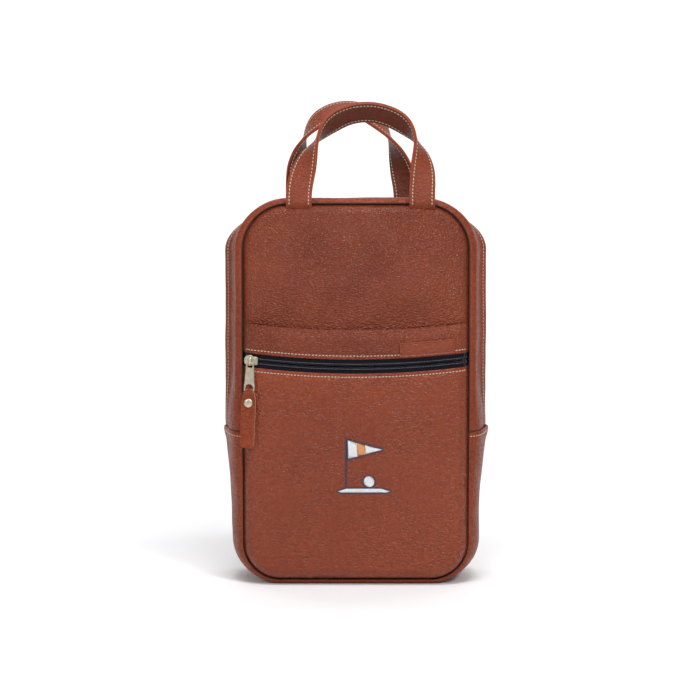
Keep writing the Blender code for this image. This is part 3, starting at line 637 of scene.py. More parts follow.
class Face:
    """The outer face of a front or back panel, with its roll at the seam and its own dents."""

    def __init__(self, level, turn, size, amount, seed, back=False, shape=None):
        self.level, self.turn, self.back, self.shape = level, turn, back, shape
        self.size, self.amount, self.seed = size, amount, seed

    def at(self, x, z, lift=0.0):
        x, z, lift = np.broadcast_arrays(x, z, lift)
        flat = np.stack([x, np.zeros_like(x), z], axis=-1)
        distance = seam_distance(x, z)
        width, depth = self.turn
        pucker = 1 + 0.22 * ripple(flat, 0.016, self.seed + 9)
        rise = self.level + crown(x, z) - turned_in(distance - 0.0016, width * pucker, depth)
        calm = smooth(distance / 0.03)
        bumps = ripple(flat, self.size, self.seed) + 0.35 * ripple(flat, self.size * 0.4, self.seed + 3)
        rise = rise + self.amount * bumps * calm + lift
        if self.shape is not None:
            rise = rise + self.shape(x, z) * calm
        y = BACK_Y + rise if self.back else SEAM_Y - rise
        return np.stack([x, y, z], axis=-1)

    def sheet(self, name, rows, look, levels=None, bend=None, columns=120):
        """A sheet over given rows, each with its level, its ends lifted by bend."""
        z = np.asarray(rows)[:, None] * np.ones(columns)[None, :]
        x = spaced(columns)[None, :] * half_width_at(z)
        if bend is not None:
            z = bend(x, z)
            x = spaced(columns)[None, :] * half_width_at(z)
        lift = 0.0 if levels is None else np.asarray(levels)[:, None]
        sheet = sheet_object(name, self.at(x, z, lift), look, flip=self.back)
        # Painted shade: the faces within 0.9 mm of the seam are coloured near black.
        paint_shade(sheet, lambda x, y, z: seam_distance(x, z) < 0.0009)
        return sheet


def rolled_rows(start, end, count, close):
    """Even rows from start, getting closer over the last stretch before end."""
    inner = end + math.copysign(0.020, start - end)
    near = end + (inner - end) * (1 - np.sin(np.linspace(0.03, 1, close) * math.pi / 2))
    return np.concatenate([np.linspace(start, inner, count), near])


def fold(edge, direction, radius, flange):
    """Rows round a folded edge, hidden flange first: heights and levels."""
    heights = [edge - direction * (radius + flange), edge - direction * radius * 1.6]
    levels = [-2 * radius, -2 * radius]
    for angle in np.linspace(math.pi, 0, 9):
        heights.append(edge - direction * radius * (1 - math.sin(angle)))
        levels.append(-radius + radius * math.cos(angle))
    return heights, levels


def edge_bend(bottom, top, bottom_lift, top_lift):
    """Lifts a sheet's lower and upper edges towards the sides."""

    def bend(x, z):
        share = np.clip((z - bottom) / (top - bottom), -0.2, 1.2)
        return z + (x / HALF_WIDTH) ** 2 * (bottom_lift * (1 - share) + top_lift * share)

    return bend


def arched(base, lift, offset):
    return lambda x: base + lift * (x / HALF_WIDTH) ** 2 + offset


ZIP_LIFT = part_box("pocket_front_panel")[1].z - (ZIP_Z - ZIP_HALF_SLOT)
BAND_TOP, BAND_LIFT = 0.2450, 0.0065
BAND_LOW = ZIP_Z + ZIP_HALF_SLOT
POCKET_TOP = ZIP_Z - ZIP_HALF_SLOT
FOLD_RADIUS = 0.0011
SEAM_TURN = (0.0095, 0.0068)
POCKET_TURN = (0.0105, 0.0120)


def pocket_shape(x, z):
    """The pocket's leather is drawn in at its stitched edge and fuller below it."""
    under = POCKET_TOP + ZIP_LIFT * (x / HALF_WIDTH) ** 2 - z
    full = 0.0016 * np.exp(-(((under - 0.055) / 0.045) ** 2)) * (1 - (x / HALF_WIDTH) ** 2)
    return full - 0.0007 * np.exp(-(((under - 0.0035) / 0.0022) ** 2))


def band_shape(x, z):
    """The band's free top edge stands away in slow waves, and is drawn in at its stitches."""
    above = z - BAND_LOW - ZIP_LIFT * (x / HALF_WIDTH) ** 2
    up = smooth(above / (BAND_TOP - BAND_LOW))
    waves = 0.0010 * np.sin(x * 52 + 0.8) + 0.0006 * np.sin(x * 95 + 2.0)
    back = 0.0032 * smooth((above - (BAND_TOP - BAND_LOW) + 0.011) / 0.011)
    return up * (0.0040 + waves) - back - 0.0007 * np.exp(-(((above - 0.0035) / 0.0022) ** 2))


def upper_shape(x, z):
    """The upper panel is padded below its top seam and sinks behind the band."""
    pad = 0.0045 * (1 - np.clip(1 - seam_distance(x, z) / 0.045, 0, 1) ** 2) * smooth((z - 0.248) / 0.045)
    return pad - 0.0003 * smooth((0.262 - z) / 0.02)


upper_face = Face(LEATHER, SEAM_TURN, 0.060, 0.0015, 3.1, shape=upper_shape)
back_face = Face(LEATHER, SEAM_TURN, 0.080, 0.0011, 7.7, back=True)
pocket_face = Face(POCKET_LEVEL, POCKET_TURN, 0.060, 0.0008, 1.3, shape=pocket_shape)
band_face = Face(POCKET_LEVEL, POCKET_TURN, 0.040, 0.0005, 5.9, shape=band_shape)


def stands_for(piece, node):
    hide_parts(node)
    return piece


stands_for(
    upper_face.sheet("front_panel_leather", rolled_rows(0.225, TOP, 70, 34), GRAINED),
    "front_panel",
)
half_rows = rolled_rows(MIDDLE_Z, TOP, 60, 30)
back_rows = np.concatenate([2 * MIDDLE_Z - half_rows[:0:-1], half_rows])
stands_for(back_face.sheet("back_panel_leather", back_rows, GRAINED), "back_panel")

heights, levels = fold(POCKET_TOP, 1, FOLD_RADIUS, 0.006)
rows = rolled_rows(POCKET_TOP - 0.0022, BOTTOM, 150, 34)
stands_for(
    pocket_face.sheet(
        "pocket_front_leather", [*heights, *rows], SMOOTHER, [*levels, *np.zeros(len(rows))],
        edge_bend(BOTTOM, POCKET_TOP, 0.0, ZIP_LIFT), columns=150,
    ),
    "pocket_front_panel",
)

low_heights, low_levels = fold(BAND_LOW, -1, FOLD_RADIUS, 0.005)
high_heights, high_levels = fold(BAND_TOP, 1, 0.0013, 0.008)
rows = np.linspace(BAND_LOW + 0.0022, BAND_TOP - 0.0030, 26)
stands_for(
    band_face.sheet(
        "pocket_band_leather", [*low_heights, *rows, *high_heights[::-1]], GRAINED,
        [*low_levels, *np.zeros(len(rows)), *high_levels[::-1]],
        edge_bend(BAND_LOW, BAND_TOP, ZIP_LIFT, BAND_LIFT), columns=150,
    ),
    "pocket_top_band",
)


def stitches_on_face(name, face, height_at):
    x = np.linspace(-HALF_WIDTH + STITCH_IN, HALF_WIDTH - STITCH_IN, 500)
    stitch_line(name, face.at(x, height_at(x)), np.tile([0.0, -1.0, 0.02], (len(x), 1)))


stitches_on_face("pocket_edge_stitches", pocket_face, arched(POCKET_TOP, ZIP_LIFT, -STITCH_IN))
stitches_on_face("band_edge_stitches", band_face, arched(BAND_LOW, ZIP_LIFT, STITCH_IN))

# ---------------------------------------------------------------- gusset leather

STRIP_DENTS, LOWER_DENTS, GUSSET_STITCH_IN = 0.0011, 0.0015, 0.0066
DEPTH_SHARE = 1.0 / HALF_DEPTH  # from metres to shares of the half depth


def lip_dip(depth):
    """How much lower the lower gusset's edge is towards the seams."""
    return 0.0006 + 0.0028 * np.abs(depth) ** 1.5


def gusset_face(run, depth, amount, seed, proud=0.0):
    """The gusset's outer face with its dents, and its outward direction."""
    run, depth, proud = np.broadcast_arrays(np.asarray(run, float), depth, proud)
    base, normal = skin(run, depth, proud), skin_normal(run, depth)
    calm = smooth((1 - np.abs(depth)) / 0.22) * smooth((base[..., 2] - 0.004) / 0.02)
    bumps = 0.65 * ripple(base, 0.055, seed) + 0.35 * ripple(base, 0.022, seed + 4)
    return base + normal * (amount * bumps * calm)[..., None], normal


def gusset_sheet(name, run, depth, insets, amount, seed, look, proud=0.0, flip=False, shade_under_lip=False):
    points, normal = gusset_face(run, depth, amount, seed, proud)
    points = points - normal * np.asarray(insets)[..., None]
    points[..., 2] = np.maximum(points[..., 2], 0.0)
    sheet = sheet_object(name, points, look, flip=flip)

    # Painted shade down in the seam groove and, with shade_under_lip, painted shadow on the strip just below the
    # lower gusset's lip.
    def in_painted_shade(x, y, z):
        share = np.abs(y - MIDDLE_Y) / (HALF_DEPTH - ROLL_BACK)
        return (share > 0.9986) | (shade_under_lip & (z < LIP_Z - lip_dip(share) + 0.0010))

    paint_shade(sheet, in_painted_shade)
    return sheet


for side_name, side in (("front", -1.0), ("back", 1.0)):
    heights, levels = fold(0.0, 1, FOLD_RADIUS, 0.004)
    shares = [SLOT - height * DEPTH_SHARE for height in heights]
    even = np.linspace(SLOT + 0.05, 0.84, 20)
    close = 0.84 + 0.16 * np.sin(np.linspace(0.08, 1, 20) * math.pi / 2)
    depths = side * np.array([*shares, *even, *close])
    insets = -np.array([*levels, *np.zeros(40)])
    runs = np.linspace(-LIP_RUN - 0.010, LIP_RUN + 0.010, 300)
    run, depth = np.meshgrid(runs, depths, indexing="ij")
    seed = 11.0 + side
    strip = gusset_sheet(
        "gusset_strip_" + side_name + "_leather", run, depth, insets[None, :] * np.ones_like(run),
        STRIP_DENTS, seed, SOFT, flip=side > 0, shade_under_lip=True,
    )
    stands_for(strip, "gusset_strip_" + side_name)
    dense = np.linspace(-LIP_RUN, LIP_RUN, 900)
    sewn_at = np.full_like(dense, side * (SLOT + GUSSET_STITCH_IN * DEPTH_SHARE))
    line, normals = gusset_face(dense, sewn_at, STRIP_DENTS, seed)
    stitch_line("gusset_strip_" + side_name + "_stitches", line, normals)

    runs = np.linspace(-LIP_RUN - 0.014, LIP_RUN + 0.014, 120)
    run, depth = np.meshgrid(runs, side * np.linspace(0.30, 0.90, 14), indexing="ij")
    cloth = gusset_sheet(
        "gusset_lining_" + side_name, run, depth, np.full_like(run, 0.0036), STRIP_DENTS, seed, LINING,
        flip=side > 0,
    )
    stands_for(cloth, "lining_strip_" + side_name)


def lip_rise(into, depth):
    return LIP_PROUD * (1 - depth**16) * (1 - smooth((into - 0.003) / 0.012))


close = 0.16 * (1 - np.cos(np.linspace(0, 1, 16) * math.pi / 2))
depths = np.concatenate([-1 + close, np.linspace(-0.81, 0.81, 44), 1 - close[::-1]])
heights, levels = fold(0.0, 1, FOLD_RADIUS, 0.005)
first_run, last_run = LIP_RUN + lip_dip(depths), 2 * HALF_RUN - LIP_RUN - lip_dip(depths)
run_rows = [first_run - height for height in heights]
run_rows += [first_run + 0.0022 + (last_run - first_run - 0.0044) * s for s in np.linspace(0, 1, 260)]
run_rows += [last_run + height for height in heights[::-1]]
run = np.array(run_rows)
depth = np.tile(depths, (len(run), 1))
into = np.minimum(run - first_run, last_run - run)
insets = -np.array([*levels, *np.zeros(260), *levels[::-1]])[:, None] * np.ones_like(run)
lower = gusset_sheet(
    "gusset_lower_leather", run, depth, insets, LOWER_DENTS, 21.0, SOFT, lip_rise(into, depth), flip=True
)
stands_for(lower, "gusset_lower")
run, depth = np.meshgrid(
    np.linspace(LIP_RUN + 0.008, 2 * HALF_RUN - LIP_RUN - 0.008, 120), np.linspace(-0.90, 0.90, 28), indexing="ij"
)
cloth = gusset_sheet(
    "gusset_lining_lower", run, depth, np.full_like(run, 0.0040), LOWER_DENTS, 21.0, LINING, flip=True
)
stands_for(cloth, "lining_gusset")
for side_name, right in (("right", True), ("left", False)):
    line_depths = np.sin(np.linspace(-1.52, 1.52, 400))
    into = 0.0040
    run = LIP_RUN + lip_dip(line_depths) + into
    run = run if right else 2 * HALF_RUN - run
    line, normals = gusset_face(run, line_depths, LOWER_DENTS, 21.0, lip_rise(into, line_depths))
    stitch_line("lip_stitches_" + side_name, line, normals)

# ---------------------------------------------------------------- zips

JOINTS = {j["name"]: j for j in frame["record"]["behaviour"]["joints"]}


def joint_place(name):
    return Vector(JOINTS[name]["pos_m"])


ARC_CENTRE = np.array(joint_place("pocket_slider_travel"))
ARC_AXIS = np.array(Vector(JOINTS["pocket_slider_travel"]["axis"]).normalized())
TAPE_LEVEL = 0.0046
ZIP_MIDDLE = np.array([0.0, SEAM_Y - float(crown(0.0, ZIP_Z)) - TAPE_LEVEL, ZIP_Z])
ARC_RADIUS = float(np.linalg.norm(ZIP_MIDDLE - ARC_CENTRE))
TOOTH_PITCH = 0.00145


def turned(vectors, x):
    """Vectors carried round the pocket zip's arc from its middle to x."""
    angle = np.arcsin(np.asarray(x) / ARC_RADIUS)[..., None]
    dot = (vectors @ ARC_AXIS)[..., None]
    crossed = np.cross(ARC_AXIS, vectors)
    return vectors * np.cos(angle) + crossed * np.sin(angle) + ARC_AXIS * dot * (1 - np.cos(angle))


def on_zip(x, across, out):
    """A point on the pocket zip: along it, across it upwards, and out to the front."""
    x, across, out = np.broadcast_arrays(x, across, out)
    start = ZIP_MIDDLE + np.stack([np.zeros_like(x), -out, across], axis=-1)
    points = turned(start - ARC_CENTRE, x) + ARC_CENTRE
    dip = turned_in(seam_distance(points[..., 0], points[..., 2]) - 0.0015, *POCKET_TURN)
    points[..., 1] += dip
    return points


def zip_directions(x):
    ones = np.ones_like(x)
    right = turned(np.stack([ones, 0 * ones, 0 * ones], axis=-1), x)
    up = turned(np.stack([0 * ones, 0 * ones, ones], axis=-1), x)
    forward = turned(np.stack([0 * ones, -ones, 0 * ones], axis=-1), x)
    return right, up, forward


COIL_MIDDLE, COIL_HEIGHT = 0.0017, 0.0014
for side_name, side in (("upper", 1), ("lower", -1)):
    x = np.linspace(-HALF_WIDTH + 0.0004, HALF_WIDTH - 0.0004, 150)[:, None]
    across = side * np.array([0.0007, 0.0025, 0.0040, 0.0055, 0.0075, 0.0105, 0.0130])[None, :]
    ribs = 0.00012 * np.array([0, 1, -1, 1, 0, 0, 0])[None, :]
    tape = sheet_object(
        "pocket_zip_tape_" + side_name + "_cloth", on_zip(x, across, ribs), TAPE_CLOTH, flip=side < 0
    )
    thicken(tape, TAPE_THICKNESS)
    stands_for(tape, "pocket_zip_tape_" + side_name)
    count = int(2 * HALF_WIDTH / TOOTH_PITCH) - 2
    x = (np.arange(count) - count / 2 + 0.25 + side * 0.25) * TOOTH_PITCH
    right, up, forward = zip_directions(x)
    teeth = scatter(
        "pocket_zip_coil_" + side_name + "_teeth", on_zip(x, side * COIL_MIDDLE, COIL_HEIGHT - 0.0001),
        up + 0.18 * side * right, forward, capsule(0.0031, 0.00085, 0.0016), COIL,
    )
    stands_for(teeth, "pocket_zip_coil_" + side_name)
    sewing = scatter(
        "pocket_zip_coil_" + side_name + "_sewing", on_zip(x + 0.0003, side * 0.0024, COIL_HEIGHT + 0.0006),
        right + 0.5 * side * up, forward, capsule(0.0010, 0.00045, 0.0004), COIL_THREAD,
    )

for side_name, side in (("front", -1.0), ("back", 1.0)):
    runs = np.linspace(-LIP_RUN - 0.006, LIP_RUN + 0.006, 260)
    shares = side * np.array([0.016, 0.05, 0.085, 0.12, 0.18, 0.25])
    run, depth = np.meshgrid(runs, shares, indexing="ij")
    points = skin(run, depth) - skin_normal(run, depth) * TAPE_INSET
    tape = sheet_object("main_zip_tape_" + side_name + "_cloth", points, TAPE_CLOTH, flip=side > 0)
    thicken(tape, TAPE_THICKNESS)
    stands_for(tape, "main_zip_tape_" + side_name)
    count = int(2 * (LIP_RUN + 0.004) / TOOTH_PITCH)
    run = (np.arange(count) - count / 2 + 0.25 + side * 0.25) * TOOTH_PITCH
    depth = np.full_like(run, side * COIL_MIDDLE * DEPTH_SHARE)
    normal = skin_normal(run, np.zeros_like(run))
    ahead = skin(run + 0.001, depth) - skin(run - 0.001, depth)
    centre = skin(run, np.zeros_like(run)) - normal * (TAPE_INSET - COIL_HEIGHT + 0.0002)
    centre[:, 1] += side * COIL_MIDDLE
    teeth = scatter(
        "main_zip_coil_" + side_name + "_teeth", centre, np.tile([0.0, 1.0, 0.0], (count, 1)) + 0.18 * unit(ahead),
        normal, capsule(0.0031, 0.00105, 0.0016), COIL,
    )
    stands_for(teeth, "main_zip_coil_" + side_name)



def zip_frame(x):
    """The matrix of a piece that sits on the pocket zip's line at x."""
    x = np.array(x)
    right, up = (Vector(v) for v in zip_directions(x)[:2])
    return framed(Vector(on_zip(x, 0.0, 0.0)), right, up)


def oblong(low_x, high_x, half, radius, steps=5):
    return rounded([(low_x, -half), (high_x, -half), (high_x, half), (low_x, half)], radius, steps)


END_STOP_X = 0.1015
# The staple wears the near-black brass: painted shade.
staple = flat_piece(
    "pocket_zip_staple", [oblong(-0.0009, 0.0009, 0.0030, 0.0005)], 0.0018, 0.0028, 0.0003,
    zip_frame(END_STOP_X), BRASS_PAINTED_SHADE, BODY,
)
stands_for(staple, "pocket_zip_end_stop")

# ---------------------------------------------------------------- sliders, tabs and pulls

TAB_SLOT, TAB_FOOT = (0.0197, 0.0261), 0.0275
TAB_LEVEL, BAIL_TOP, BAIL_REACH = 0.0052, 0.0073, 0.0032
RIVET_AT, PULL_PLY, PULL_LOOP = 0.0117, 0.0012, 0.0011


SQUARE_FAR_END = [0.0001, 0.0012, 0.0012, 0.0001]  # radii of a slider tail's four corners
SLIDER_X, MAIN_SLIDER_X = -0.0990, 0.0078  # the sliders' middles, closed


def slider_outline(scale=1.0):
    """A round nose and a squarer tail."""
    turns = np.radians(np.linspace(58, 302, 22))
    nose = [(-0.0013 + 0.0052 * scale * math.cos(a), 0.0052 * scale * math.sin(a)) for a in turns]
    tail = 0.0066 - 0.0052 * (1 - scale)
    near, far = 0.0041 * scale, 0.0037 * scale
    corner = rounded([(0.0020, -near), (tail, -far), (tail, far), (0.0020, near)], SQUARE_FAR_END, 4)
    return nose + corner


def add_slider(name, matrix, bail_along):
    body = name + "_slider_body"
    plates = flat_piece(name + "_slider_plate", [slider_outline()], 0.0024, 0.0038, 0.0004, matrix, BRASS, body)
    stands_for(plates, name + "_slider")
    back = flat_piece(name + "_slider_back", [slider_outline()], -0.0017, -0.0007, 0.0003, matrix, BRASS, body)
    crown_plate = flat_piece(
        name + "_slider_crown", [slider_outline(0.70)], 0.0036, 0.0044, 0.00035, matrix, BRASS, body
    )
    reach, top, bend = BAIL_REACH, BAIL_TOP, 0.0014
    side = [(-reach, 0.0036), (-reach, top - bend), (-reach + bend * 0.3, top - bend * 0.3), (-reach + bend, top)]
    path = side + [(-a, h) for a, h in side[::-1]]
    path = np.array([(a, 0.0, h) if bail_along else (0.0, a, h) for a, h in path])
    along = unit(np.gradient(path, axis=0))
    wide = np.tile([0.0, 1.0, 0.0] if bail_along else [1.0, 0.0, 0.0], (len(path), 1))
    turns = np.linspace(0, 2 * math.pi, 12, endpoint=False)
    section = np.stack([0.0011 * np.cos(turns), 0.0006 * np.sin(turns)], axis=1)
    bail = swept(name + "_slider_bail", path, wide, np.cross(along, wide), section, BRASS)
    bail.data.transform(matrix)
    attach(bail, body)
    post = flat_piece(
        name + "_slider_post", [oblong(-0.002, 0.002, 0.0004, 0.0002)], -0.0009, 0.0026, 0.0001,
        matrix, BRASS, body,
    )


def add_tab(name, matrix):
    top, foot, wide_at = 0.0038, 0.0051, TAB_SLOT[0] + 0.0005
    turns = np.radians(np.linspace(90, 270, 17))
    ring = [(0.0032 + 0.0040 * math.cos(a), top * math.sin(a)) for a in turns]
    sides = [(0.0100, -0.0041), (0.0150, -0.0045), (wide_at, -foot + 0.0003)]
    end = oblong(wide_at + 0.001, TAB_FOOT, foot, [0.0001, 0.0016, 0.0016, 0.0001])
    outer = ring + sides + end + [(x, -y) for x, y in sides[::-1]]
    eye = oblong(0.0006, 0.0052, 0.0024, 0.0012)
    slot_low, slot_high = TAB_SLOT
    hole = [(slot_low + 0.0042 - 0.0033 * math.sin(a), 0.0036 * math.cos(a)) for a in np.linspace(0, math.pi, 12)]
    hole += [(slot_high, -0.0036), (slot_high, 0.0036)]
    tab = flat_piece(
        name + "_tab_plate", [outer, eye, hole], -0.00065, 0.00065, 0.00028, matrix, BRASS, name + "_tab_body"
    )
    stands_for(tab, name + "_tab")


def add_pull(name, matrix, length):
    """A strap folded round the tab's lower bar, its raw edges showing."""
    middle, closed = PULL_LOOP + PULL_PLY / 2, PULL_PLY / 2 + 0.00015
    face = [(x, closed) for x in np.linspace(length, RIVET_AT - 0.003, 26)]
    face += [(0.0065, 0.00095), (0.0052, 0.0012), (0.0036, 0.0015), (0.0018, middle)]
    face += [(-middle * math.sin(a), middle * math.cos(a)) for a in np.linspace(0, math.pi / 2, 8)]
    path = np.array(face + [(x, -z) for x, z in face[-2::-1]])
    x = path[:, 0]
    corner = np.clip((x - (length - 0.005)) / 0.005, 0, 1)
    half = 0.0034 + 0.0019 * smooth((x - 0.0002) / 0.0010) + 0.0014 * smooth((x - 0.0005) / 0.0100)
    half = half - 0.0040 * (1 - np.sqrt(1 - 0.92 * corner**2))
    shares = spaced(17, 0.4)
    sag = 0.00012 * ripple(np.stack([x, x * 0, path[:, 1]], axis=1), 0.012, 31.0)
    points = np.stack([
        np.tile(x[:, None], (1, 17)), half[:, None] * shares[None, :],
        np.tile((path[:, 1] + sag)[:, None], (1, 17)),
    ], axis=-1)
    pull = sheet_object(name + "_pull_leather", points, [SOFT, RAW], body=None)
    thicken(pull, PULL_PLY, rim=1, bevel=0.00028)
    pull.data.transform(matrix)
    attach(pull, name + "_pull_body")
    stands_for(pull, name + "_pull")
    cap = PULL_PLY + 0.00015
    profile = [(0.0, -cap - 0.0008), (0.0030, -cap - 0.0008), (0.0034, -cap - 0.0003), (0.0034, -cap + 0.0002)]
    profile += [(0.0012, -cap + 0.0002), (0.0012, cap - 0.0002), (0.0042, cap - 0.0002), (0.00425, cap + 0.0004)]
    profile += [(0.0040, cap + 0.0009), (0.0034, cap + 0.0013), (0.0020, cap + 0.0015), (0.0, cap + 0.00155)]
    at_rivet = matrix @ Matrix.Translation((RIVET_AT, 0, 0))
    rivet = revolve(name + "_rivet_cap", profile, at_rivet, BRASS, name + "_pull_body")
    stands_for(rivet, name + "_rivet")


MAIN_Z = joint_place("main_left_tab_hinge").z - TAB_LEVEL
main_frames = [framed((s * MAIN_SLIDER_X, MIDDLE_Y, MAIN_Z), (s, 0, 0), (0, s, 0)) for s in (-1, 1)]
for name, matrix, bail_along, length in (
    ("pocket", zip_frame(SLIDER_X), False, 0.0545),
    ("main_left", main_frames[0], True, 0.0340),
    ("main_right", main_frames[1], True, 0.0340),
):
    add_slider(name, matrix, bail_along)
    tab_at, pull_at = joint_place(name + "_tab_hinge"), joint_place(name + "_pull_hinge")
    across = -Vector(JOINTS[name + "_tab_hinge"]["axis"])
    add_tab(name, framed(tab_at, pull_at - tab_at, across))
    add_pull(name, framed(pull_at, pull_at - tab_at, across), length)

# ---------------------------------------------------------------- handles

HANDLE_WIDTH, HANDLE_PLY = 0.0245, 0.0016
HANDLE_TURN, TURN_FROM, TURN_TO = math.radians(132), 0.03, 0.76
HANDLE_LEAN = 0.008
HANDLE_STITCH_IN, HANDLE_STITCH_PITCH = 0.0031, 0.0033
HANDLE_UPRIGHT = 0.20  # 0 makes an ellipse, more keeps the legs upright for longer


def handle_line(share, towards, half_spacing, height, lean):
    turn = math.pi * share
    rise = np.sin(turn)
    x = -half_spacing * np.cos(turn) * (1 + HANDLE_UPRIGHT * rise**2) + lean * smooth(1.25 * rise)
    return np.stack([x, -towards * HANDLE_LEAN * rise**2, height * rise], axis=-1)


def handle_sections(towards, pivot, *shape):
    """The strap's middle line, its width and thickness directions; its feet sink into the seam."""
    share = (1 - np.cos(np.linspace(0, math.pi, 150))) / 2 * 0.5 + np.linspace(0, 1, 150) * 0.5
    centres = handle_line(share, towards, *shape)
    tangent = unit(handle_line(share + 0.002, towards, *shape) - handle_line(share - 0.002, towards, *shape))
    inward = unit(np.stack([tangent[:, 2], 0 * share, -tangent[:, 0]], axis=1))
    from_foot = np.minimum(share, 1 - share) * 2
    turn = HANDLE_TURN * smooth((from_foot - TURN_FROM) / (TURN_TO - TURN_FROM))[:, None]
    width = inward * np.cos(turn) + np.array([0.0, towards, 0.0]) * np.sin(turn)
    width = unit(width - tangent * np.sum(width * tangent, axis=1, keepdims=True))
    through = np.cross(tangent, width)
    centres = centres + pivot
    sunk = np.linspace(1, 0.12, 8)[:, None]
    drop = np.array([0.0, -towards * 0.0042, -0.0075])
    rows = []
    for end in (0, -1):
        foot = centres[end] + drop * sunk
        foot[:, 1] = centres[end][1] + drop[1] * sunk[:, 0] ** 1.5
        rows.append(foot if end == 0 else foot[::-1])

    def stretched(values):
        return np.concatenate([np.repeat(values[:1], 8, axis=0), values, np.repeat(values[-1:], 8, axis=0)])

    return np.concatenate([rows[0], centres, rows[1]]), stretched(width), stretched(through)


def strap_section(side):
    """One ply: padded on its outer side, drawn in at the stitches, with round turned edges."""
    half = HANDLE_WIDTH / 2 - HANDLE_PLY / 2
    across = np.linspace(-half, half, 25)
    from_stitch = np.abs(np.abs(across) - (HANDLE_WIDTH / 2 - HANDLE_STITCH_IN))
    pad = 0.00050 * (1 - (across / half) ** 4) - 0.00038 * np.exp(-((from_stitch / 0.0009) ** 2))
    outer = [(a, side * (HANDLE_PLY / 2 + p)) for a, p in zip(across, pad)]
    turns = np.linspace(math.pi / 2, -math.pi / 2, 7)[1:-1]
    edge = [(half + HANDLE_PLY / 2 * math.cos(t), side * HANDLE_PLY / 2 * math.sin(t)) for t in turns]
    inner = [(a, -side * HANDLE_PLY / 2) for a in np.linspace(half, -half, 6)]
    section = np.array(outer + edge + inner + [(-a, b) for a, b in edge[::-1]])
    looks = [0] * 24 + [1] * 6 + [0] * 5 + [1] * 6
    return section, looks


def add_handle(name, towards, half_spacing, height, lean):
    pivot = np.array(joint_place(name + "_hinge"))
    centres, width, through = handle_sections(towards, pivot, half_spacing, height, lean)
    wobble = 0.00035 * ripple(centres, 0.020, 41.0 + towards)
    pieces = []
    for ply_name, side in (("outer", towards), ("inner", -towards)):
        section, looks = strap_section(side)
        middle = centres + through * (side * HANDLE_PLY / 2) + width * wobble[:, None]
        # The inner ply takes the darker copy of the strap leather: painted shade.
        ply = swept(
            name + "_" + ply_name + "_strap", middle, width, through, section,
            [STRAP if ply_name == "outer" else STRAP_INSIDE_SHADED, STRAP_EDGE], looks,
        )
        stands_for(ply, name + "_" + ply_name + "_ply")
        pieces.append(ply)
        for edge_name, sign in (("a", -1), ("b", 1)):
            across = sign * (HANDLE_WIDTH / 2 - HANDLE_STITCH_IN)
            line = centres + width * (across + wobble[:, None]) + through * (side * (HANDLE_PLY + 0.00010))
            stitches_name = name + "_" + ply_name + "_stitches_" + edge_name
            pieces.append(stitch_line(stitches_name, line[4:-4], through[4:-4] * side, None, HANDLE_STITCH_PITCH))
    for piece in pieces:
        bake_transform(piece)


add_handle("front_handle", -1, 0.0585, 0.0845, 0.0058)
add_handle("back_handle", 1, 0.0545, 0.0955, -0.005)

# ---------------------------------------------------------------- label and embroidery


def add_label():
    left, right, height = 0.0410, 0.0940, 0.0144
    u = (spaced(110, 0.75) + 1) / 2
    v = (spaced(44, 0.75) + 1) / 2
    x = left + (right - left) * u[None, :] * np.ones((44, 1))
    rise = height * v[:, None] * np.ones((1, 110))
    z = BAND_LOW + 0.0008 + ZIP_LIFT * (x / HALF_WIDTH) ** 2 + rise
    distance = np.minimum(np.minimum(x - left, right - x), np.minimum(rise, height - rise))
    edge = np.sqrt(1 - (1 - np.clip(distance / 0.0010, 0, 1)) ** 2)
    groove = 0.00035 * np.exp(-(((distance - 0.0021) / 0.00035) ** 2))
    points = band_face.at(x, z, -0.0002 + 0.0014 * edge - groove)
    stands_for(sheet_object("blank_label_leather", points, LABEL), "blank_label")


def lay_threads(name, starts, ends, look, height):
    """Threads on the pocket's face from each start to each end, as (x, z)."""
    starts, ends = np.array(starts), np.array(ends)
    a = pocket_face.at(starts[:, 0], starts[:, 1], 0.0004)
    b = pocket_face.at(ends[:, 0], ends[:, 1], 0.0004)
    length = np.linalg.norm(b - a, axis=1)
    shape = capsule(1.0, 0.00050, height, around=6)
    outwards = np.tile([0.0, -1.0, 0.0], (len(a), 1))
    threads = scatter(name, (a + b) / 2, b - a, outwards, shape, look, stretch=length)
    return threads


def filled(points, angle, pitch=0.00040):
    """Starts and ends of even rows across a closed outline."""
    points = np.array(points)
    along = np.array([math.cos(math.radians(angle)), math.sin(math.radians(angle))])
    across = np.array([-along[1], along[0]])
    u, v = points @ along, points @ across
    starts, ends = [], []
    for level in np.arange(v.min() + pitch / 2, v.max(), pitch):
        cuts = []
        for k in range(len(points)):
            n = (k + 1) % len(points)
            if (v[k] > level) != (v[n] > level):
                cuts.append(u[k] + (u[n] - u[k]) * (level - v[k]) / (v[n] - v[k]))
        cuts.sort()
        for a, b in zip(cuts[::2], cuts[1::2]):
            starts.append(along * a + across * level)
            ends.append(along * b + across * level)
    return starts, ends


def bordered(points, width, pitch=0.00038):
    """Short threads across a closed outline, side by side all the way round."""
    points = np.array(list(points) + [points[0]])
    starts, ends = [], []
    for a, b in zip(points[:-1], points[1:]):
        edge = b - a
        length = np.linalg.norm(edge)
        normal = np.array([-edge[1], edge[0]]) / max(length, 1e-9)
        for s in np.arange(0, length, pitch):
            at = a + edge * (s / max(length, 1e-9))
            starts.append(at - normal * width / 2)
            ends.append(at + normal * width / 2)
    return starts, ends


def circle(x, z, radius):
    turns = np.linspace(0, 2 * math.pi, 28, endpoint=False)
    return [(x + radius * math.cos(a), z + radius * math.sin(a)) for a in turns]


add_label()
pole_low, pole_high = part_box("motif_flagpole")
flag_low, flag_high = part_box("motif_pennant")
green_low, green_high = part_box("motif_green")
flag_z = (flag_low.z + flag_high.z) / 2
hoist_low, hoist_high, tip = (flag_low.x, flag_low.z), (flag_low.x, flag_high.z), flag_high.x
pennant = [hoist_low, (tip, flag_z - 0.0004), (tip, flag_z + 0.0004), hoist_high]
STRIPE_FROM, STRIPE_TO = 0.28, 0.50  # shares of the pennant's length


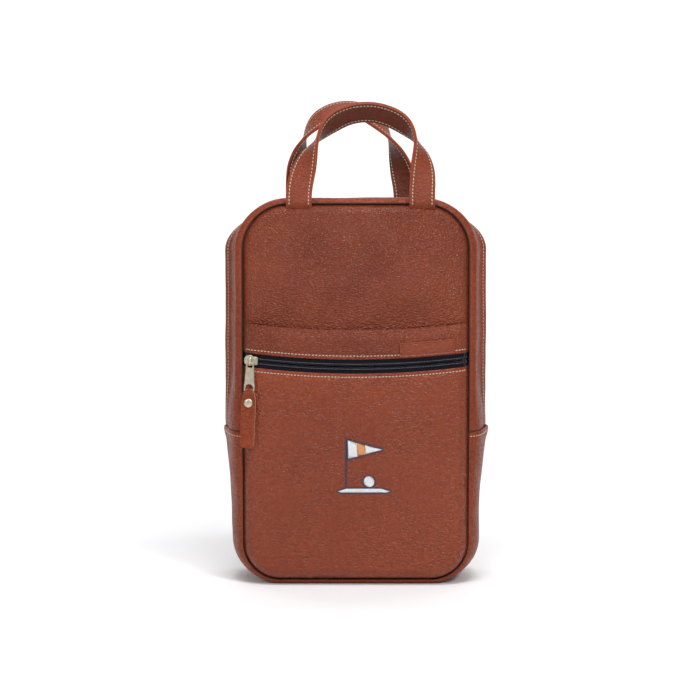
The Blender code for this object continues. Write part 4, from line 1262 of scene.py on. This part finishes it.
def flag_edge(share, upper):
    x = flag_low.x + (flag_high.x - flag_low.x) * share
    half = (flag_high.z - flag_low.z) / 2 * (1 - share)
    return (x, flag_z + (half if upper else -half) * 0.98)


from_low, from_high = flag_edge(STRIPE_FROM, False), flag_edge(STRIPE_FROM, True)
to_low, to_high = flag_edge(STRIPE_TO, False), flag_edge(STRIPE_TO, True)
stripe = [from_low, to_low, to_high, from_high]
near = [hoist_low, from_low, from_high, hoist_high]
far = [to_low, (tip, flag_z), to_high]
green = [
    (green_low.x + 0.004, green_low.z), (green_high.x - 0.004, green_low.z), (green_high.x, green_low.z + 0.0016),
    (0.0240, green_high.z), (-0.0090, green_high.z), (green_low.x, green_low.z + 0.0016),
]
ball = circle(0.0125, green_high.z + 0.0062, 0.0056)

pole = [(pole_low.x, pole_low.z), (pole_high.x, pole_low.z), (pole_high.x, pole_high.z), (pole_low.x, pole_high.z)]
flag_white = [part + rest for part, rest in zip(filled(near, 62), filled(far, 62))]

FLAT, RAISED = 0.00055, 0.0008  # heights of the filling and of the borders
for name, rows, look, height, node in (
    ("motif_pennant_white", flag_white, WHITE_THREAD, FLAT, "motif_pennant"),
    ("motif_pennant_stripe", filled(stripe, 62), ORANGE_THREAD, FLAT, None),
    ("motif_pennant_border", bordered(pennant, 0.0013), NAVY_THREAD, RAISED, None),
    ("motif_pole_thread", filled(pole, 20), NAVY_THREAD, RAISED, "motif_flagpole"),
    ("motif_green_white", filled(green, 80), WHITE_THREAD, FLAT, "motif_green"),
    ("motif_green_border", bordered(green, 0.0012), NAVY_THREAD, RAISED, None),
    ("motif_ball_white", filled(ball, 35), WHITE_THREAD, FLAT, None),
    ("motif_ball_border", bordered(ball, 0.0012), NAVY_THREAD, RAISED, None),
):
    threads = lay_threads(name, *rows, look, height)
    if node:
        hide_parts(node)

# ---------------------------------------------------------------- pieces carried over

for node, look in (
    ("lining_front", LINING), ("lining_back", LINING), ("pocket_lining", LINING),
    ("front_seam_binding", LINING), ("back_seam_binding", LINING), ("base_board", BOARD),
):
    for slot in bpy.data.objects[node].material_slots:
        slot.material = look

# ---------------------------------------------------------------- floor, light, camera


def add_floor():
    mesh = bpy.data.meshes.new("studio_floor")
    size, wall = 6.0, 2.2
    profile = [(-size, 0.0), (wall - 0.8, 0.0)]
    turns = np.linspace(0.15, math.pi / 2, 12)
    profile += [(wall - 0.8 + 0.8 * math.sin(a), 0.8 - 0.8 * math.cos(a)) for a in turns]
    profile.append((wall, 4.0))
    vertices, faces = [], []
    for y, z in profile:
        vertices += [(-size, y, z), (size, y, z)]
    for k in range(len(profile) - 1):
        faces.append((2 * k, 2 * k + 1, 2 * k + 3, 2 * k + 2))
    look = Look("studio_white", 0.9)
    obj = new_object("studio_floor", vertices, faces, look.finish((0.93, 0.93, 0.94)))


def add_light(name, place, target, size, power):
    light = bpy.data.lights.new(name, "AREA")
    light.shape = "RECTANGLE"
    light.size, light.size_y = size
    light.energy = power
    obj = bpy.data.objects.new(name, light)
    obj.location = place
    obj.rotation_euler = (Vector(target) - Vector(place)).to_track_quat("-Z", "Y").to_euler()
    bpy.context.scene.collection.objects.link(obj)


add_floor()
world = bpy.data.worlds.new("studio")
bpy.context.scene.world = world
world.use_nodes = True
world.node_tree.nodes["Background"].inputs["Color"].default_value = (1.0, 1.0, 1.0, 1.0)
world.node_tree.nodes["Background"].inputs["Strength"].default_value = 0.22
centre = (0.0, 0.0, 0.2)
add_light("key", (1.0, -1.7, 1.5), centre, (0.5, 0.4), 19)
add_light("fill", (-1.5, -1.5, 1.1), centre, (0.35, 0.7), 11)
add_light("over", (0.1, -0.9, 1.9), centre, (0.9, 0.3), 21)
add_light("front", (0.0, -2.5, 1.6), centre, (1.6, 0.25), 5)
add_light("backdrop", (0.0, 0.7, 2.3), (0.0, 2.2, 0.9), (2.4, 0.5), 34)
bpy.context.scene.view_settings.view_transform = "Standard"

camera = bpy.data.cameras.new("camera")
camera.lens = 85.0
camera.sensor_width = 36.0
view = bpy.data.objects.new("camera", camera)
aim = Vector((-0.0055, SEAM_Y - 0.008, 0.226))
distance, rise = 1.565, math.radians(3.0)
view.location = aim + Vector((0.0, -distance * math.cos(rise), distance * math.sin(rise)))
view.rotation_euler = (aim - view.location).to_track_quat("-Z", "Y").to_euler()
bpy.context.scene.collection.objects.link(view)
bpy.context.scene.camera = view
